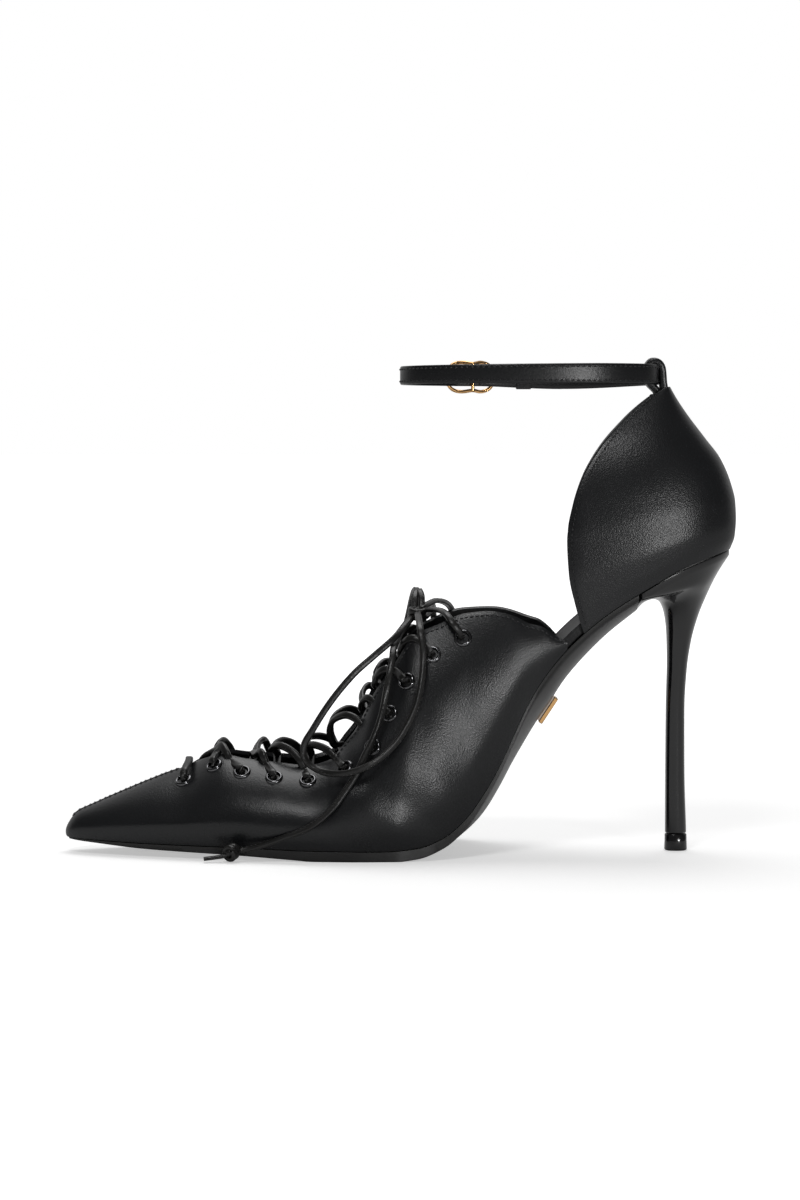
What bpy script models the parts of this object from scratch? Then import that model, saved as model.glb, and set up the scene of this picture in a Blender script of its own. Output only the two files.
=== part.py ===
"""A right lace-up heel: pointed toe, side openings, stiletto heel, ankle strap and a tied lace.

The toe points to -X, the heel to +X, the inner side of the foot to -Y, and the shoe stands on Z = 0.
Sizes are in millimetres and become metres as each mesh is made.
"""

import math
from bisect import bisect_right

import bmesh
import bpy
from mathutils import Vector

MM = 0.001

# Driving sizes of the shoe
LENGTH = 232.0  # toe to the back of the heel, measured along the floor
BALL_HALF = 36.0  # half the width of the sole at the ball of the foot
SEAT_HEIGHT = 105.3  # height of the seam between upper and heel, at the back
WALL = 1.5  # leather and lining
GAP = 0.3  # between pieces that touch
TOE_X = -LENGTH / 2

# Heel seat
SEAT_START = 178.8  # from the toe: the counter's front corners
SEAT_BACK = 230.1  # from the toe: the seam at the back
SEAT_HALF = 22.3
SEAT_POWER = 3.2  # squareness of the seat's outline


def curve_through(places, values):
    """A smooth curve through points that never overshoots them."""
    steps = [b - a for a, b in zip(places, places[1:])]
    slopes = [(b - a) / s for a, b, s in zip(values, values[1:], steps)]
    tangents = [slopes[0]]
    for before, after in zip(slopes, slopes[1:]):
        same_way = before * after > 0
        tangents.append(2 * before * after / (before + after) if same_way else 0.0)
    tangents.append(slopes[-1])

    def value(place):
        place = min(max(place, places[0]), places[-1])
        k = min(bisect_right(places, place) - 1, len(steps) - 1)
        t = (place - places[k]) / steps[k]
        return (
            (1 + 2 * t) * (1 - t) ** 2 * values[k]
            + t * (1 - t) ** 2 * steps[k] * tangents[k]
            + t * t * (3 - 2 * t) * values[k + 1]
            + t * t * (t - 1) * steps[k] * tangents[k + 1]
        )

    return value


def table(columns, rows, first_unit=1.0, **units):
    """Named curves over the first column. Each column is multiplied by its unit."""
    names = columns.split()
    places = [row[0] * first_unit for row in rows]
    return {
        name: curve_through(places, [row[k] * units.get(name, 1.0) for row in rows])
        for k, name in enumerate(names)
        if k
    }


# Sections of the last, a row for each: percent of the length from the toe, then the middle of the foot
# and half the width at the seam, as percent of BALL_HALF
OUTLINE = table(
    "along middle half",
    [
        (0.0, -13.9, 14.0),
        (2.2, -14.0, 18.0),
        (4.3, -14.2, 24.0),
        (8.6, -13.9, 35.6),
        (12.9, -13.0, 46.4),
        (19.4, -11.4, 61.4),
        (25.9, -8.9, 75.0),
        (32.3, -5.6, 86.7),
        (38.8, -2.9, 95.1),
        (45.3, -0.3, 99.4),
        (49.0, 1.2, 99.4),
        (53.9, 3.2, 94.2),
        (60.3, 4.2, 81.4),
        (66.8, 3.2, 69.4),
        (71.1, 1.2, 64.0),
        (77.1, -2.4, 61.9),
        (100.0, -3.4, 61.9),
    ],
    LENGTH / 100,
    middle=BALL_HALF / 100,
    half=BALL_HALF / 100,
)

# Height of the seam between upper and sole, as percent of SEAT_HEIGHT
SEAM = table(
    "along height",
    [
        (0.0, 5.1),
        (12.9, 4.5),
        (25.9, 4.3),
        (36.6, 3.7),
        (47.4, 3.5),
        (52.6, 4.4),
        (56.5, 7.6),
        (59.5, 12.9),
        (62.5, 21.8),
        (64.7, 30.2),
        (66.8, 40.1),
        (69.0, 50.5),
        (71.6, 59.8),
        (74.6, 67.8),
        (77.6, 74.1),
        (81.0, 80.0),
        (85.3, 86.0),
        (92.2, 94.4),
        (99.2, 100.0),
        (100.0, 100.4),
    ],
    LENGTH / 100,
    height=SEAT_HEIGHT / 100,
)

# Sole: depth of its edge and how far its underside bulges below that, in millimetres
SOLE = table(
    "along band belly",
    [
        (0.0, 0.6, 0.0),
        (5.2, 1.2, 0.0),
        (11.6, 2.0, 0.0),
        (22.8, 2.7, 0.0),
        (34.9, 3.6, 0.0),
        (37.9, 4.0, 0.0),
        (48.7, 4.0, 0.0),
        (53.9, 3.9, 0.0),
        (56.5, 3.8, 0.8),
        (59.5, 3.5, 3.0),
        (62.5, 3.0, 6.4),
        (64.7, 2.7, 7.4),
        (66.8, 2.4, 9.0),
        (69.0, 2.4, 11.2),
        (71.6, 2.4, 11.6),
        (74.6, 2.2, 9.4),
        (77.6, 2.2, 7.8),
        (81.0, 2.2, 6.2),
        (84.9, 2.2, 4.6),
        (91.4, 2.2, 0.0),
        (100.0, 2.2, 0.0),
    ],
    LENGTH / 100,
)

# Where the front of the upper ends: its ridge over the toes, then the laced throat, the rising front of the
# quarters and the topline. The height is percent of SEAT_HEIGHT, the gap is from the middle to each edge.
EDGE = table(
    "along height gap drop",
    [
        (0.0, 10.9, 0.0, 0.0),
        (0.9, 12.6, 0.0, 0.0),
        (2.9, 14.5, 0.0, 0.0),
        (7.3, 18.8, 0.0, 0.0),
        (14.2, 25.1, 0.0, 0.0),
        (18.0, 28.2, 0.0, 0.0),
        (20.7, 31.0, 4.2, 0.0),
        (23.7, 32.8, 8.4, 0.0),
        (27.2, 31.7, 12.2, 0.0),
        (31.5, 30.8, 15.4, 0.0),
        (36.2, 29.9, 17.6, 0.0),
        (39.7, 31.8, 19.0, 0.0),
        (41.6, 36.7, 19.8, 0.0),
        (43.5, 42.0, 20.6, 0.0),
        (46.1, 53.4, 21.8, 0.0),
        (49.6, 64.6, 22.5, 0.2),
        (51.7, 71.6, 22.9, 0.5),
        (55.2, 76.3, 23.3, 0.8),
        (59.5, 80.7, 23.8, 0.9),
        (64.0, 81.6, 24.0, 1.0),
        (70.7, 79.9, 23.6, 3.4),
        (73.4, 75.4, 23.0, 2.0),
        (74.8, 71.2, 22.8, 0.3),
    ],
    LENGTH / 100,
    height=SEAT_HEIGHT / 100,
)

# Roundness of the front of the upper: bulge beyond the seam in millimetres, the height of that bulge as a
# share of the wall, how far the wall has turned in at its edge, and how tent-like its section is
ROUND = table(
    "along bulge waist turn crown",
    [
        (0.0, 0.3, 0.38, 90.0, 1.10),
        (4.3, 1.0, 0.36, 90.0, 1.14),
        (12.9, 1.7, 0.32, 90.0, 1.32),
        (18.0, 2.0, 0.30, 88.0, 1.42),
        (23.7, 2.2, 0.28, 66.0, 1.30),
        (31.5, 2.5, 0.28, 52.0, 1.12),
        (39.7, 2.6, 0.28, 44.0, 1.04),
        (46.1, 2.6, 0.20, 40.0, 1.00),
        (51.7, 2.8, 0.18, 38.0, 1.00),
        (57.0, 3.2, 0.22, 37.0, 1.00),
        (62.1, 3.4, 0.30, 36.0, 1.00),
        (66.4, 3.2, 0.44, 36.0, 1.00),
        (70.7, 2.2, 0.55, 36.0, 1.00),
        (75.2, 1.0, 0.60, 36.0, 1.00),
    ],
    LENGTH / 100,
)

# Heel counter: levels from the seam to the peak. Front edge, back, and half the width at the front edge.
COUNTER = table(
    "level front_x front_z back_x back_z half",
    [
        (0.00, 62.8, 77.0, 114.1, 105.3, 22.3),
        (0.12, 60.0, 86.2, 115.6, 110.0, 23.8),
        (0.25, 57.4, 97.5, 116.0, 115.6, 24.8),
        (0.38, 56.8, 108.9, 115.7, 121.6, 24.6),
        (0.50, 58.6, 119.0, 114.0, 128.4, 23.6),
        (0.62, 62.2, 129.6, 110.6, 136.2, 21.6),
        (0.74, 68.8, 140.6, 105.2, 143.4, 18.2),
        (0.86, 77.8, 150.6, 99.0, 151.6, 13.0),
        (0.94, 84.4, 157.0, 95.3, 157.2, 9.0),
        (1.00, 88.6, 160.6, 93.2, 160.9, 6.4),
    ],
)
COUNTER_POWER = 3.2

# Heel: rings from the seat down. Front, side and back of each ring, and how square its front is.
HEEL_RINGS = [
    # front_x, front_z, square, side_x, side_y, side_z, back_x, back_z
    (86.4, 85.2, 5.0, 97.0, 17.2, 90.6, 109.4, 95.8),
    (90.4, 84.6, 3.6, 97.2, 11.4, 86.4, 105.8, 88.0),
    (92.2, 81.2, 3.0, 97.3, 8.0, 80.6, 102.9, 80.2),
    (92.8, 75.0, 2.6, 97.0, 6.0, 73.2, 100.9, 72.6),
    (92.6, 65.0, 2.4, 96.2, 4.8, 63.0, 99.5, 62.6),
    (92.3, 50.0, 2.4, 95.6, 3.9, 49.0, 98.8, 48.8),
    (92.2, 28.0, 2.4, 95.6, 3.5, 28.0, 98.9, 28.0),
    (92.2, 6.2, 2.4, 95.9, 3.6, 6.2, 99.6, 6.2),
]
HEEL_FRONT = 81.2
HEEL_SIDE = 88.0
HEEL_ROUND = 20  # points around each ring
TIP_TOP = 5.9

# Eyelets: distance from the toe and depth below the edge of the throat, in millimetres
EYELETS = [
    (41.4, 3.8),
    (52.1, 3.0),
    (61.9, 4.2),
    (73.0, 4.6),
    (84.6, 4.5),
    (97.3, 8.0),
    (106.7, 16.7),
    (112.4, 14.0),
    (118.2, 12.1),
    (126.9, 9.7),
    (137.4, 9.3),
]
EYELET_OUTER = 3.1
EYELET_BORE = 1.9
EYELET_BARREL = 2.2
EYELET_HOLE = 2.55
EYELET_FLANGE = 0.7
EYELET_SEAT = 0.55  # between the flange and the curved leather
EYELET_SIDES = 8

# Lace: route points in millimetres
LACE = 1.05  # radius
LACE_LIFT = EYELET_SEAT + EYELET_FLANGE + GAP + LACE  # middle of the lace above the leather at an eyelet
KNOT_CENTRE = (5.5, -3.0, 83.0)
KNOT_RADIUS = 2.2
CORD_STEP = 5.6
CORD_ROUTES = {
    "lace_tie_medial": [(9.8, -6.0, 84.0), (13.0, -14.5, 84.6), (15.6, -22.8, 84.2), (18.2, -28.2, 80.6),
                        (20.6, -29.4, 77.2)],
    "lace_tie_lateral": [(9.0, 0.2, 85.4), (12.4, 9.0, 86.4), (15.2, 18.0, 85.6), (17.8, 26.8, 83.6),
                         (19.8, 31.6, 79.6), (21.2, 32.6, 76.6)],
    "lace_loop_medial": [(3.6, -6.4, 81.2), (2.4, -14.0, 79.8), (-2.0, -23.6, 75.4), (-9.0, -26.0, 69.4),
                         (-15.0, -27.6, 64.2), (-20.4, -28.6, 58.2), (-25.2, -29.4, 51.8), (-29.6, -30.0, 44.8),
                         (-32.6, -30.0, 39.4), (-32.2, -30.0, 34.4), (-28.2, -31.0, 31.2), (-23.2, -34.6, 30.2),
                         (-17.6, -38.8, 30.8), (-11.4, -40.2, 33.0), (-6.0, -39.2, 36.4), (-1.6, -37.4, 40.6),
                         (2.0, -36.4, 45.8), (5.0, -34.8, 52.0), (6.8, -34.0, 58.4), (7.8, -33.4, 65.8),
                         (7.8, -32.0, 73.4), (6.6, -27.6, 81.6), (5.8, -15.0, 86.4), (5.4, -6.4, 85.6)],
    "lace_loop_lateral": [(7.0, 0.6, 88.0), (6.4, 8.0, 90.4), (7.0, 19.0, 88.0), (8.0, 28.6, 80.6),
                          (8.8, 34.0, 69.0), (9.4, 38.4, 57.0), (7.4, 40.4, 48.0), (3.4, 40.0, 49.0),
                          (1.8, 37.2, 60.0), (2.2, 32.4, 71.0), (3.2, 26.0, 80.4), (4.0, 15.0, 85.4),
                          (4.2, 5.0, 85.8), (4.4, 0.2, 85.2)],
    "lace_end_medial": [(1.0, -7.4, 77.0), (-0.6, -16.0, 75.0), (-2.2, -25.4, 72.0), (-2.8, -31.0, 67.2),
                        (-4.2, -33.6, 60.4), (-5.8, -35.2, 51.8), (-7.4, -36.0, 46.6), (-9.6, -37.2, 41.0),
                        (-12.0, -37.0, 36.4), (-14.6, -36.6, 30.6), (-19.0, -37.6, 23.8), (-23.0, -38.6, 18.6),
                        (-30.2, -39.4, 12.6), (-40.0, -38.2, 8.4), (-49.6, -36.0, 4.6)],
    "lace_end_lateral": [(8.6, 3.6, 80.6), (10.0, 11.0, 81.6), (11.0, 19.0, 82.6), (11.6, 26.6, 83.4),
                         (12.0, 33.2, 78.0), (12.6, 36.4, 66.0), (13.0, 38.6, 54.0), (12.0, 40.6, 42.0),
                         (9.0, 41.4, 30.0), (5.0, 41.4, 18.0), (0.0, 40.6, 9.6), (-6.0, 40.2, 5.0)],
}
END_KNOTS = {
    "lace_end_knot_medial": ((-55.6, -34.6, 3.0), (-1.0, 0.22, -0.12)),
    "lace_end_knot_lateral": ((-12.6, 40.0, 3.0), (-1.0, 0.0, -0.12)),
}

# Ankle strap: a loop whose free end passes over the buckle's bar and lies on the strap's start
STRAP_LENGTH = 89.8
STRAP_HALF = 24.5
STRAP_POWER = 2.3
STRAP_THICK = 1.7
STRAP_LOW = 161.7  # lower edge on the medial side
STRAP_DROP = 1.3  # how much lower the lateral side hangs
STRAP_TALL = (6.3, 7.0)  # height in front and at the back
STRAP_START = 109.0  # degrees, from the back towards the lateral side
STRAP_END = -290.0
STRAP_RISE = (-224.0, -240.0)  # where the free end climbs over the bar
OVERLAY = STRAP_THICK + GAP

# Buckle
BUCKLE_X = 25.6
BUCKLE_HALF_LENGTH = 7.6
BUCKLE_HALF_HEIGHT = 5.4
BUCKLE_WAIST = 0.7
BUCKLE_WIRE = 0.65
BUCKLE_LIFT = OVERLAY + STRAP_THICK / 2 + GAP + BUCKLE_WIRE + 0.1
PRONG = 0.45
PRONG_HOLE = 1.1
PRONG_SHIFT = 1.15  # from the bar to the prong's hole
KEEPER_X = (41.0, 46.0)
KEEPER_THICK = 0.9

# Loop on the counter's peak: middle line in X and Z, at the middle of the heel
LOOP_PATH = [(88.3, 159.0), (85.8, 160.8), (84.4, 163.4), (84.0, 166.6), (84.6, 169.2), (86.4, 170.5),
             (88.8, 170.5), (90.6, 169.6), (91.4, 167.6), (91.6, 165.0), (91.4, 162.4)]
LOOP_THICK = 1.2
LOOP_HALF = 4.4

# Plate under the shank
PLATE_X = (48.6, 53.0)
PLATE_THICK = 0.9
PLATE_HALF = 4.0

MEDIAL, LATERAL = -1, 1
SIDES = {"medial": MEDIAL, "lateral": LATERAL}


def material(name, colour, roughness, metallic=0.0):
    made = bpy.data.materials.new(name)
    made.use_nodes = True
    shader = made.node_tree.nodes["Principled BSDF"]
    shader.inputs["Base Color"].default_value = (*colour, 1.0)
    shader.inputs["Roughness"].default_value = roughness
    shader.inputs["Metallic"].default_value = metallic
    return made


def mesh_object(name, points, faces, finish):
    """A smooth-shaded object from points in millimetres, with its faces turned outwards."""
    mesh = bpy.data.meshes.new(name)
    mesh.from_pydata([Vector(p) * MM for p in points], [], faces)
    shape = bmesh.new()
    shape.from_mesh(mesh)
    bmesh.ops.recalc_face_normals(shape, faces=shape.faces)
    if shape.calc_volume(signed=True) < 0:
        bmesh.ops.reverse_faces(shape, faces=shape.faces)
    shape.to_mesh(mesh)
    shape.free()
    mesh.shade_smooth()
    mesh.set_sharp_from_angle(angle=math.radians(40))
    mesh.materials.append(finish)
    made = bpy.data.objects.new(name, mesh)
    bpy.context.scene.collection.objects.link(made)
    return made


def boolean(target, other, operation):
    """Joins or cuts with another object, which is then left out of the model."""
    modifier = target.modifiers.new(operation.lower(), "BOOLEAN")
    modifier.operation = operation
    modifier.object = other
    other.hide_render = True
    other.display_type = "WIRE"


def rounded_end(distance, reach):
    """Grows from 0 to 1 over the reach, as a round end does."""
    share = min(max(distance / reach, 0.0), 1.0)
    return math.sqrt(1 - (1 - share) ** 2)


def spread(start, end, count):
    """Places after the start, up to and including the end."""
    return [start + (end - start) * k / count for k in range(1, count + 1)]


# Stations that the sole, the insole and the upper share where the seam climbs to the heel
THROAT = 18.0 * LENGTH / 100  # front of the laced opening
REAR = 74.6 * LENGTH / 100  # end of the front upper
CLIMB = spread(114.0, 160.0, 12) + spread(160.0, REAR, 4)


# The last, as functions of the distance from the toe
def middle(along):
    return OUTLINE["middle"](along)


def half_width(along):
    """Half the width at the seam between upper and sole."""
    if along > SEAT_START:
        share = min((along - SEAT_START) / (SEAT_BACK - SEAT_START), 1.0)
        return SEAT_HALF * (1 - share**SEAT_POWER) ** (1 / SEAT_POWER)
    return OUTLINE["half"](along) * rounded_end(along, 7.0)


def seam_height(along):
    nose = 1 - rounded_end(along, 1.2)
    return SEAM["height"](along) + 1.6 * nose


def seam_slope(along):
    step = 0.5
    return (SEAM["height"](along + step) - SEAM["height"](along - step)) / (2 * step)


def sole_half(along):
    """The sole starts a little behind the tip of the upper and comes level with it further back."""
    return half_width(max(along - 1.1 * max(1 - along / 30, 0), 0.02)) - 0.1


def sole_underside(along, across):
    """Height under the sole. Across runs from -1 to 1 over its width."""
    bulge = SOLE["belly"](along) * (1 - abs(across) ** 2.4)
    return max(SEAM["height"](along) - SOLE["band"](along) - bulge, 0.0)


def edge_point(along, side):
    """Where the wall of the front upper ends: the ridge over the toes, or the edge of the throat."""
    height = EDGE["height"](along)
    nose = 7.2
    height = nose + (height - nose) * rounded_end(along, 6.0)
    if side == LATERAL:
        height -= EDGE["drop"](along)
    return middle(along) + side * EDGE["gap"](along), height


LOW_SHARE = 0.28  # the share of a section's rows that lies below its widest place


def upper_point(along, side, share):
    """A point of the front upper's outer face. Share runs from 0 at the seam to 1 at the edge."""
    seam_y = middle(along) + side * half_width(along)
    seam_z = seam_height(along)
    edge_y, edge_z = edge_point(along, side)
    wide_y = seam_y + side * ROUND["bulge"](along) * rounded_end(along, 3.0)
    wide_z = seam_z + ROUND["waist"](along) * (edge_z - seam_z)
    if share < LOW_SHARE:
        part = share / LOW_SHARE
        y = seam_y + (wide_y - seam_y) * math.sin(part * math.pi / 2)
        z = seam_z + (wide_z - seam_z) * part
    else:
        part = (share - LOW_SHARE) / (1 - LOW_SHARE)
        turn = math.radians(ROUND["turn"](along))
        crown = ROUND["crown"](along)
        inward = (1 - max(math.cos(turn * part), 0) ** crown) / (1 - max(math.cos(turn), 0) ** crown)
        upward = (math.sin(turn * part) / math.sin(turn)) ** crown
        y = wide_y + (edge_y - wide_y) * inward
        z = wide_z + (edge_z - wide_z) * upward
    return Vector((TOE_X + along, y, z))


def upper_normal(along, side, share):
    """The outward direction of the front upper's wall."""
    step = 0.02
    low, high = max(share - step, 0.0), min(share + step, 1.0)
    up = upper_point(along, side, high) - upper_point(along, side, low)
    back = upper_point(along + step, side, share) - upper_point(max(along - step, 0.01), side, share)
    out = back.cross(up) if side == MEDIAL else up.cross(back)
    return out.normalized()


def share_at_height(along, side, height):
    low, high = 0.0, 1.0
    for _ in range(30):
        share = (low + high) / 2
        if upper_point(along, side, share).z < height:
            low = share
        else:
            high = share
    return low


def inward_point(along, side, share, wall):
    """The inner face, level with the outer one along the shoe."""
    outer = upper_point(along, side, share)
    out = upper_normal(along, side, share)
    flat = Vector((0, out.y, out.z))
    depth = wall / max(flat.length, 0.7)
    inner = outer - flat.normalized() * depth
    if share == 0.0:
        inner.z = outer.z
        inner.y = outer.y - side * depth
    return inner


def make_upper_front(finish):
    """Vamp and quarters: one wall, open along the throat, at the topline and underneath."""
    stations = [0.2, 0.8, 1.8, 3.2, 5.2]
    stations += spread(5.2, THROAT, 6)
    closed = len(stations) - 1  # the last station whose two halves still meet
    stations += spread(THROAT, 88.0, 9) + spread(88.0, 114.0, 8) + CLIMB
    hollow = 5  # the station where the room inside the toe starts
    shares = [0.0, 0.14] + [LOW_SHARE + (1 - LOW_SHARE) * k / 5 for k in range(6)]
    top = len(shares) - 1
    points, index = [], {}

    def add(key, point):
        index[key] = len(points)
        points.append(point)

    for i, along in enumerate(stations):
        for side in (MEDIAL, LATERAL):
            for j, share in enumerate(shares):
                if j == top and i <= closed and side == LATERAL:
                    index["outer", i, side, j] = index["outer", i, MEDIAL, j]
                    if i >= hollow:
                        index["inner", i, side, j] = index["inner", i, MEDIAL, j]
                    continue
                add(("outer", i, side, j), upper_point(along, side, share))
                if i < hollow:
                    continue
                inner = inward_point(along, side, share, WALL)
                if j == top and i <= closed:
                    inner = upper_point(along, side, share) - Vector((0, 0, WALL * 1.15))
                add(("inner", i, side, j), inner)

    faces = []
    last = len(stations) - 1
    for face, first in (("outer", 0), ("inner", hollow)):
        for i in range(first, last):
            for side in (MEDIAL, LATERAL):
                for j in range(top):
                    corners = [(i, j), (i + 1, j), (i + 1, j + 1), (i, j + 1)]
                    faces.append([index[face, a, side, b] for a, b in corners])

    add("nose", Vector((TOE_X, middle(0.0), 7.0)))
    add("inner nose", (points[index["inner", hollow, MEDIAL, 3]] + points[index["inner", hollow, LATERAL, 3]]) / 2)
    for side in (MEDIAL, LATERAL):
        for j in range(top):
            faces.append([index["outer", 0, side, j], index["outer", 0, side, j + 1], index["nose"]])
            inner = [index["inner", hollow, side, j], index["inner", hollow, side, j + 1], index["inner nose"]]
            faces.append(inner)
        for i in range(hollow, last):
            faces.append([index[f, a, side, 0] for f, a in
                          (("outer", i), ("outer", i + 1), ("inner", i + 1), ("inner", i))])
        for i in range(closed, last):
            faces.append([index[f, a, side, top] for f, a in
                          (("outer", i), ("outer", i + 1), ("inner", i + 1), ("inner", i))])
        for j in range(top):
            faces.append([index[f, last, side, b] for f, b in
                          (("outer", j), ("outer", j + 1), ("inner", j + 1), ("inner", j))])
    faces.append([index["inner", hollow, MEDIAL, 0], index["inner", hollow, LATERAL, 0], index["inner nose"]])
    faces.append([index["outer", 0, MEDIAL, 0], index["outer", 0, LATERAL, 0], index["nose"]])
    for i in range(hollow - 1):
        faces.append([index["outer", a, side, 0] for a, side in
                      ((i, MEDIAL), (i + 1, MEDIAL), (i + 1, LATERAL), (i, LATERAL))])
    before = hollow - 1
    faces.append([
        index["outer", before, MEDIAL, 0], index["outer", hollow, MEDIAL, 0],
        index["inner", hollow, MEDIAL, 0], index["inner", hollow, LATERAL, 0],
        index["outer", hollow, LATERAL, 0], index["outer", before, LATERAL, 0],
    ])
    return mesh_object("upper_front", points, faces, finish)


def even_angles(reach, half):
    """The angle at each share of the length around a quarter of the counter's section."""
    power, steps = 2 / COUNTER_POWER, 60
    angles = [math.pi / 2 * k / steps for k in range(steps + 1)]
    line = [Vector((reach * math.cos(a) ** power, half * math.sin(a) ** power)) for a in angles[:-1]]
    line.append(Vector((0, half)))
    lengths = [0.0]
    for before, after in zip(line, line[1:]):
        lengths.append(lengths[-1] + (after - before).length)
    return curve_through([length / lengths[-1] for length in lengths], angles)


ANGLE_AROUND = even_angles(55.0, 24.0)


def counter_point(level, around):
    """A point of the counter's outer face. Around runs from -1 at the medial front edge to 1."""
    front_x, back_x = COUNTER["front_x"](level), COUNTER["back_x"](level)
    front_z, back_z = COUNTER["front_z"](level), COUNTER["back_z"](level)
    angle = ANGLE_AROUND(abs(around))
    power = 2 / COUNTER_POWER
    x = front_x + (back_x - front_x) * math.cos(angle) ** power if abs(around) < 1 else front_x
    y = math.copysign(COUNTER["half"](level) * math.sin(angle) ** power, around)
    z = front_z + (back_z - front_z) * (x - front_x) / (back_x - front_x)
    seat = max(1 - level / 0.25, 0.0)
    start_x, start_z = COUNTER["front_x"](0), COUNTER["front_z"](0)
    straight = start_z + (COUNTER["back_z"](0) - start_z) * (x - start_x) / (COUNTER["back_x"](0) - start_x)
    z += seat * (SEAM["height"](x - TOE_X) - straight)
    return Vector((x, middle(x - TOE_X) + y, z))


def make_upper_back(finish):
    """Heel counter: one curved wall, open in front, on top and underneath."""
    levels = [0, 0.07, 0.15, 0.25, 0.36, 0.48, 0.6, 0.7, 0.8, 0.88, 0.95, 1.0]
    count = 11
    arounds = [k / count for k in range(-count, count + 1)]
    outer = [[counter_point(level, a) for a in arounds] for level in levels]
    step = 0.01
    inner = []
    for level, row in zip(levels, outer):
        line = []
        for a, point in zip(arounds, row):
            higher, lower = min(level + step, 1.0), max(level - step, 0.0)
            right, left = min(a + step, 1.0), max(a - step, -1.0)
            up = counter_point(higher, a) - counter_point(lower, a)
            along = counter_point(level, right) - counter_point(level, left)
            out = along.cross(up).normalized()
            moved = point - out * WALL
            if level == 0:
                moved.z = SEAM["height"](moved.x - TOE_X)
            line.append(moved)
        inner.append(line)
    points = [p for row in outer + inner for p in row]
    width, height = len(arounds), len(levels)

    def at(layer, i, j):
        return (layer * height + i) * width + j

    faces = []
    for layer in (0, 1):
        for i in range(height - 1):
            for j in range(width - 1):
                faces.append([at(layer, i, j), at(layer, i + 1, j), at(layer, i + 1, j + 1), at(layer, i, j + 1)])
    for j in range(width - 1):
        for i in (0, height - 1):
            faces.append([at(0, i, j), at(0, i, j + 1), at(1, i, j + 1), at(1, i, j)])
    for i in range(height - 1):
        for j in (0, width - 1):
            faces.append([at(0, i, j), at(0, i + 1, j), at(1, i + 1, j), at(1, i, j)])
    return mesh_object("upper_back", points, faces, finish)


def loft(name, rings, finish):
    """Closed rings of equal length joined into a solid, its two ends filled flat."""
    count = len(rings[0])
    points = [p for ring in rings for p in ring]
    faces = [list(range(count)), list(range(len(points) - count, len(points)))]
    for k in range(len(rings) - 1):
        for j in range(count):
            a, b = k * count + j, k * count + (j + 1) % count
            faces.append([a, b, b + count, a + count])
    return mesh_object(name, points, faces, finish)


def make_outsole(finish):
    stations = [1.3, 1.8, 2.8, 4.4, 7.0] + spread(7.0, 86.0, 9) + spread(86.0, 114.0, 3)
    stations += CLIMB + spread(REAR, HEEL_FRONT - GAP - TOE_X, 6)
    bottom = [-1.0, -0.96, -0.82, -0.55, -0.25, 0.25, 0.55, 0.82, 0.96, 1.0]
    rings = []
    for along in stations:
        half, centre = sole_half(along), middle(along)
        x, top = TOE_X + along, SEAM["height"](along) - GAP
        edge = min(0.35, SOLE["band"](along) * 0.3)
        ring = []
        for across in bottom:
            z = sole_underside(along, across)
            if abs(across) == 1.0:
                z = min(z + edge, top - 0.1)
            ring.append((x, centre + across * half, z))
        ring += [(x, centre + across * half, top) for across in (1.0, 0.5, -0.5, -1.0)]
        rings.append(ring)
    return loft("outsole", rings, finish)


def make_insole(finish):
    """The footbed, inside the walls and a little cupped."""
    thick, clear = 2.6, WALL * 1.25 + GAP
    stations = [13.0] + spread(13.0, 114.0, 9) + CLIMB + spread(REAR, 220.0, 12) + [223.5, 226.0, 227.6]
    rings = []
    for along in stations:
        half = half_width(along) - clear
        if along > SEAT_START:
            share = (along - SEAT_START) / (SEAT_BACK - clear - SEAT_START)
            half = (SEAT_HALF - clear) * (1 - share**SEAT_POWER) ** (1 / SEAT_POWER)
        x, low = TOE_X + along, SEAM["height"](along)
        raised = min(thick, 1.2 + along * 0.02) * math.sqrt(1 + seam_slope(along) ** 2)
        ring = [(x, middle(along) + across * half, low) for across in (-1.0, -0.4, 0.4, 1.0)]
        for across in (1.0, 0.75, 0.3, -0.3, -0.75, -1.0):
            ring.append((x, middle(along) + across * half, low + raised + 1.0 * across**2 - 0.3))
        rings.append(ring)
    return loft("insole", rings, finish)


def power_of(value, power):
    return math.copysign(abs(value) ** power, value)


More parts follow.
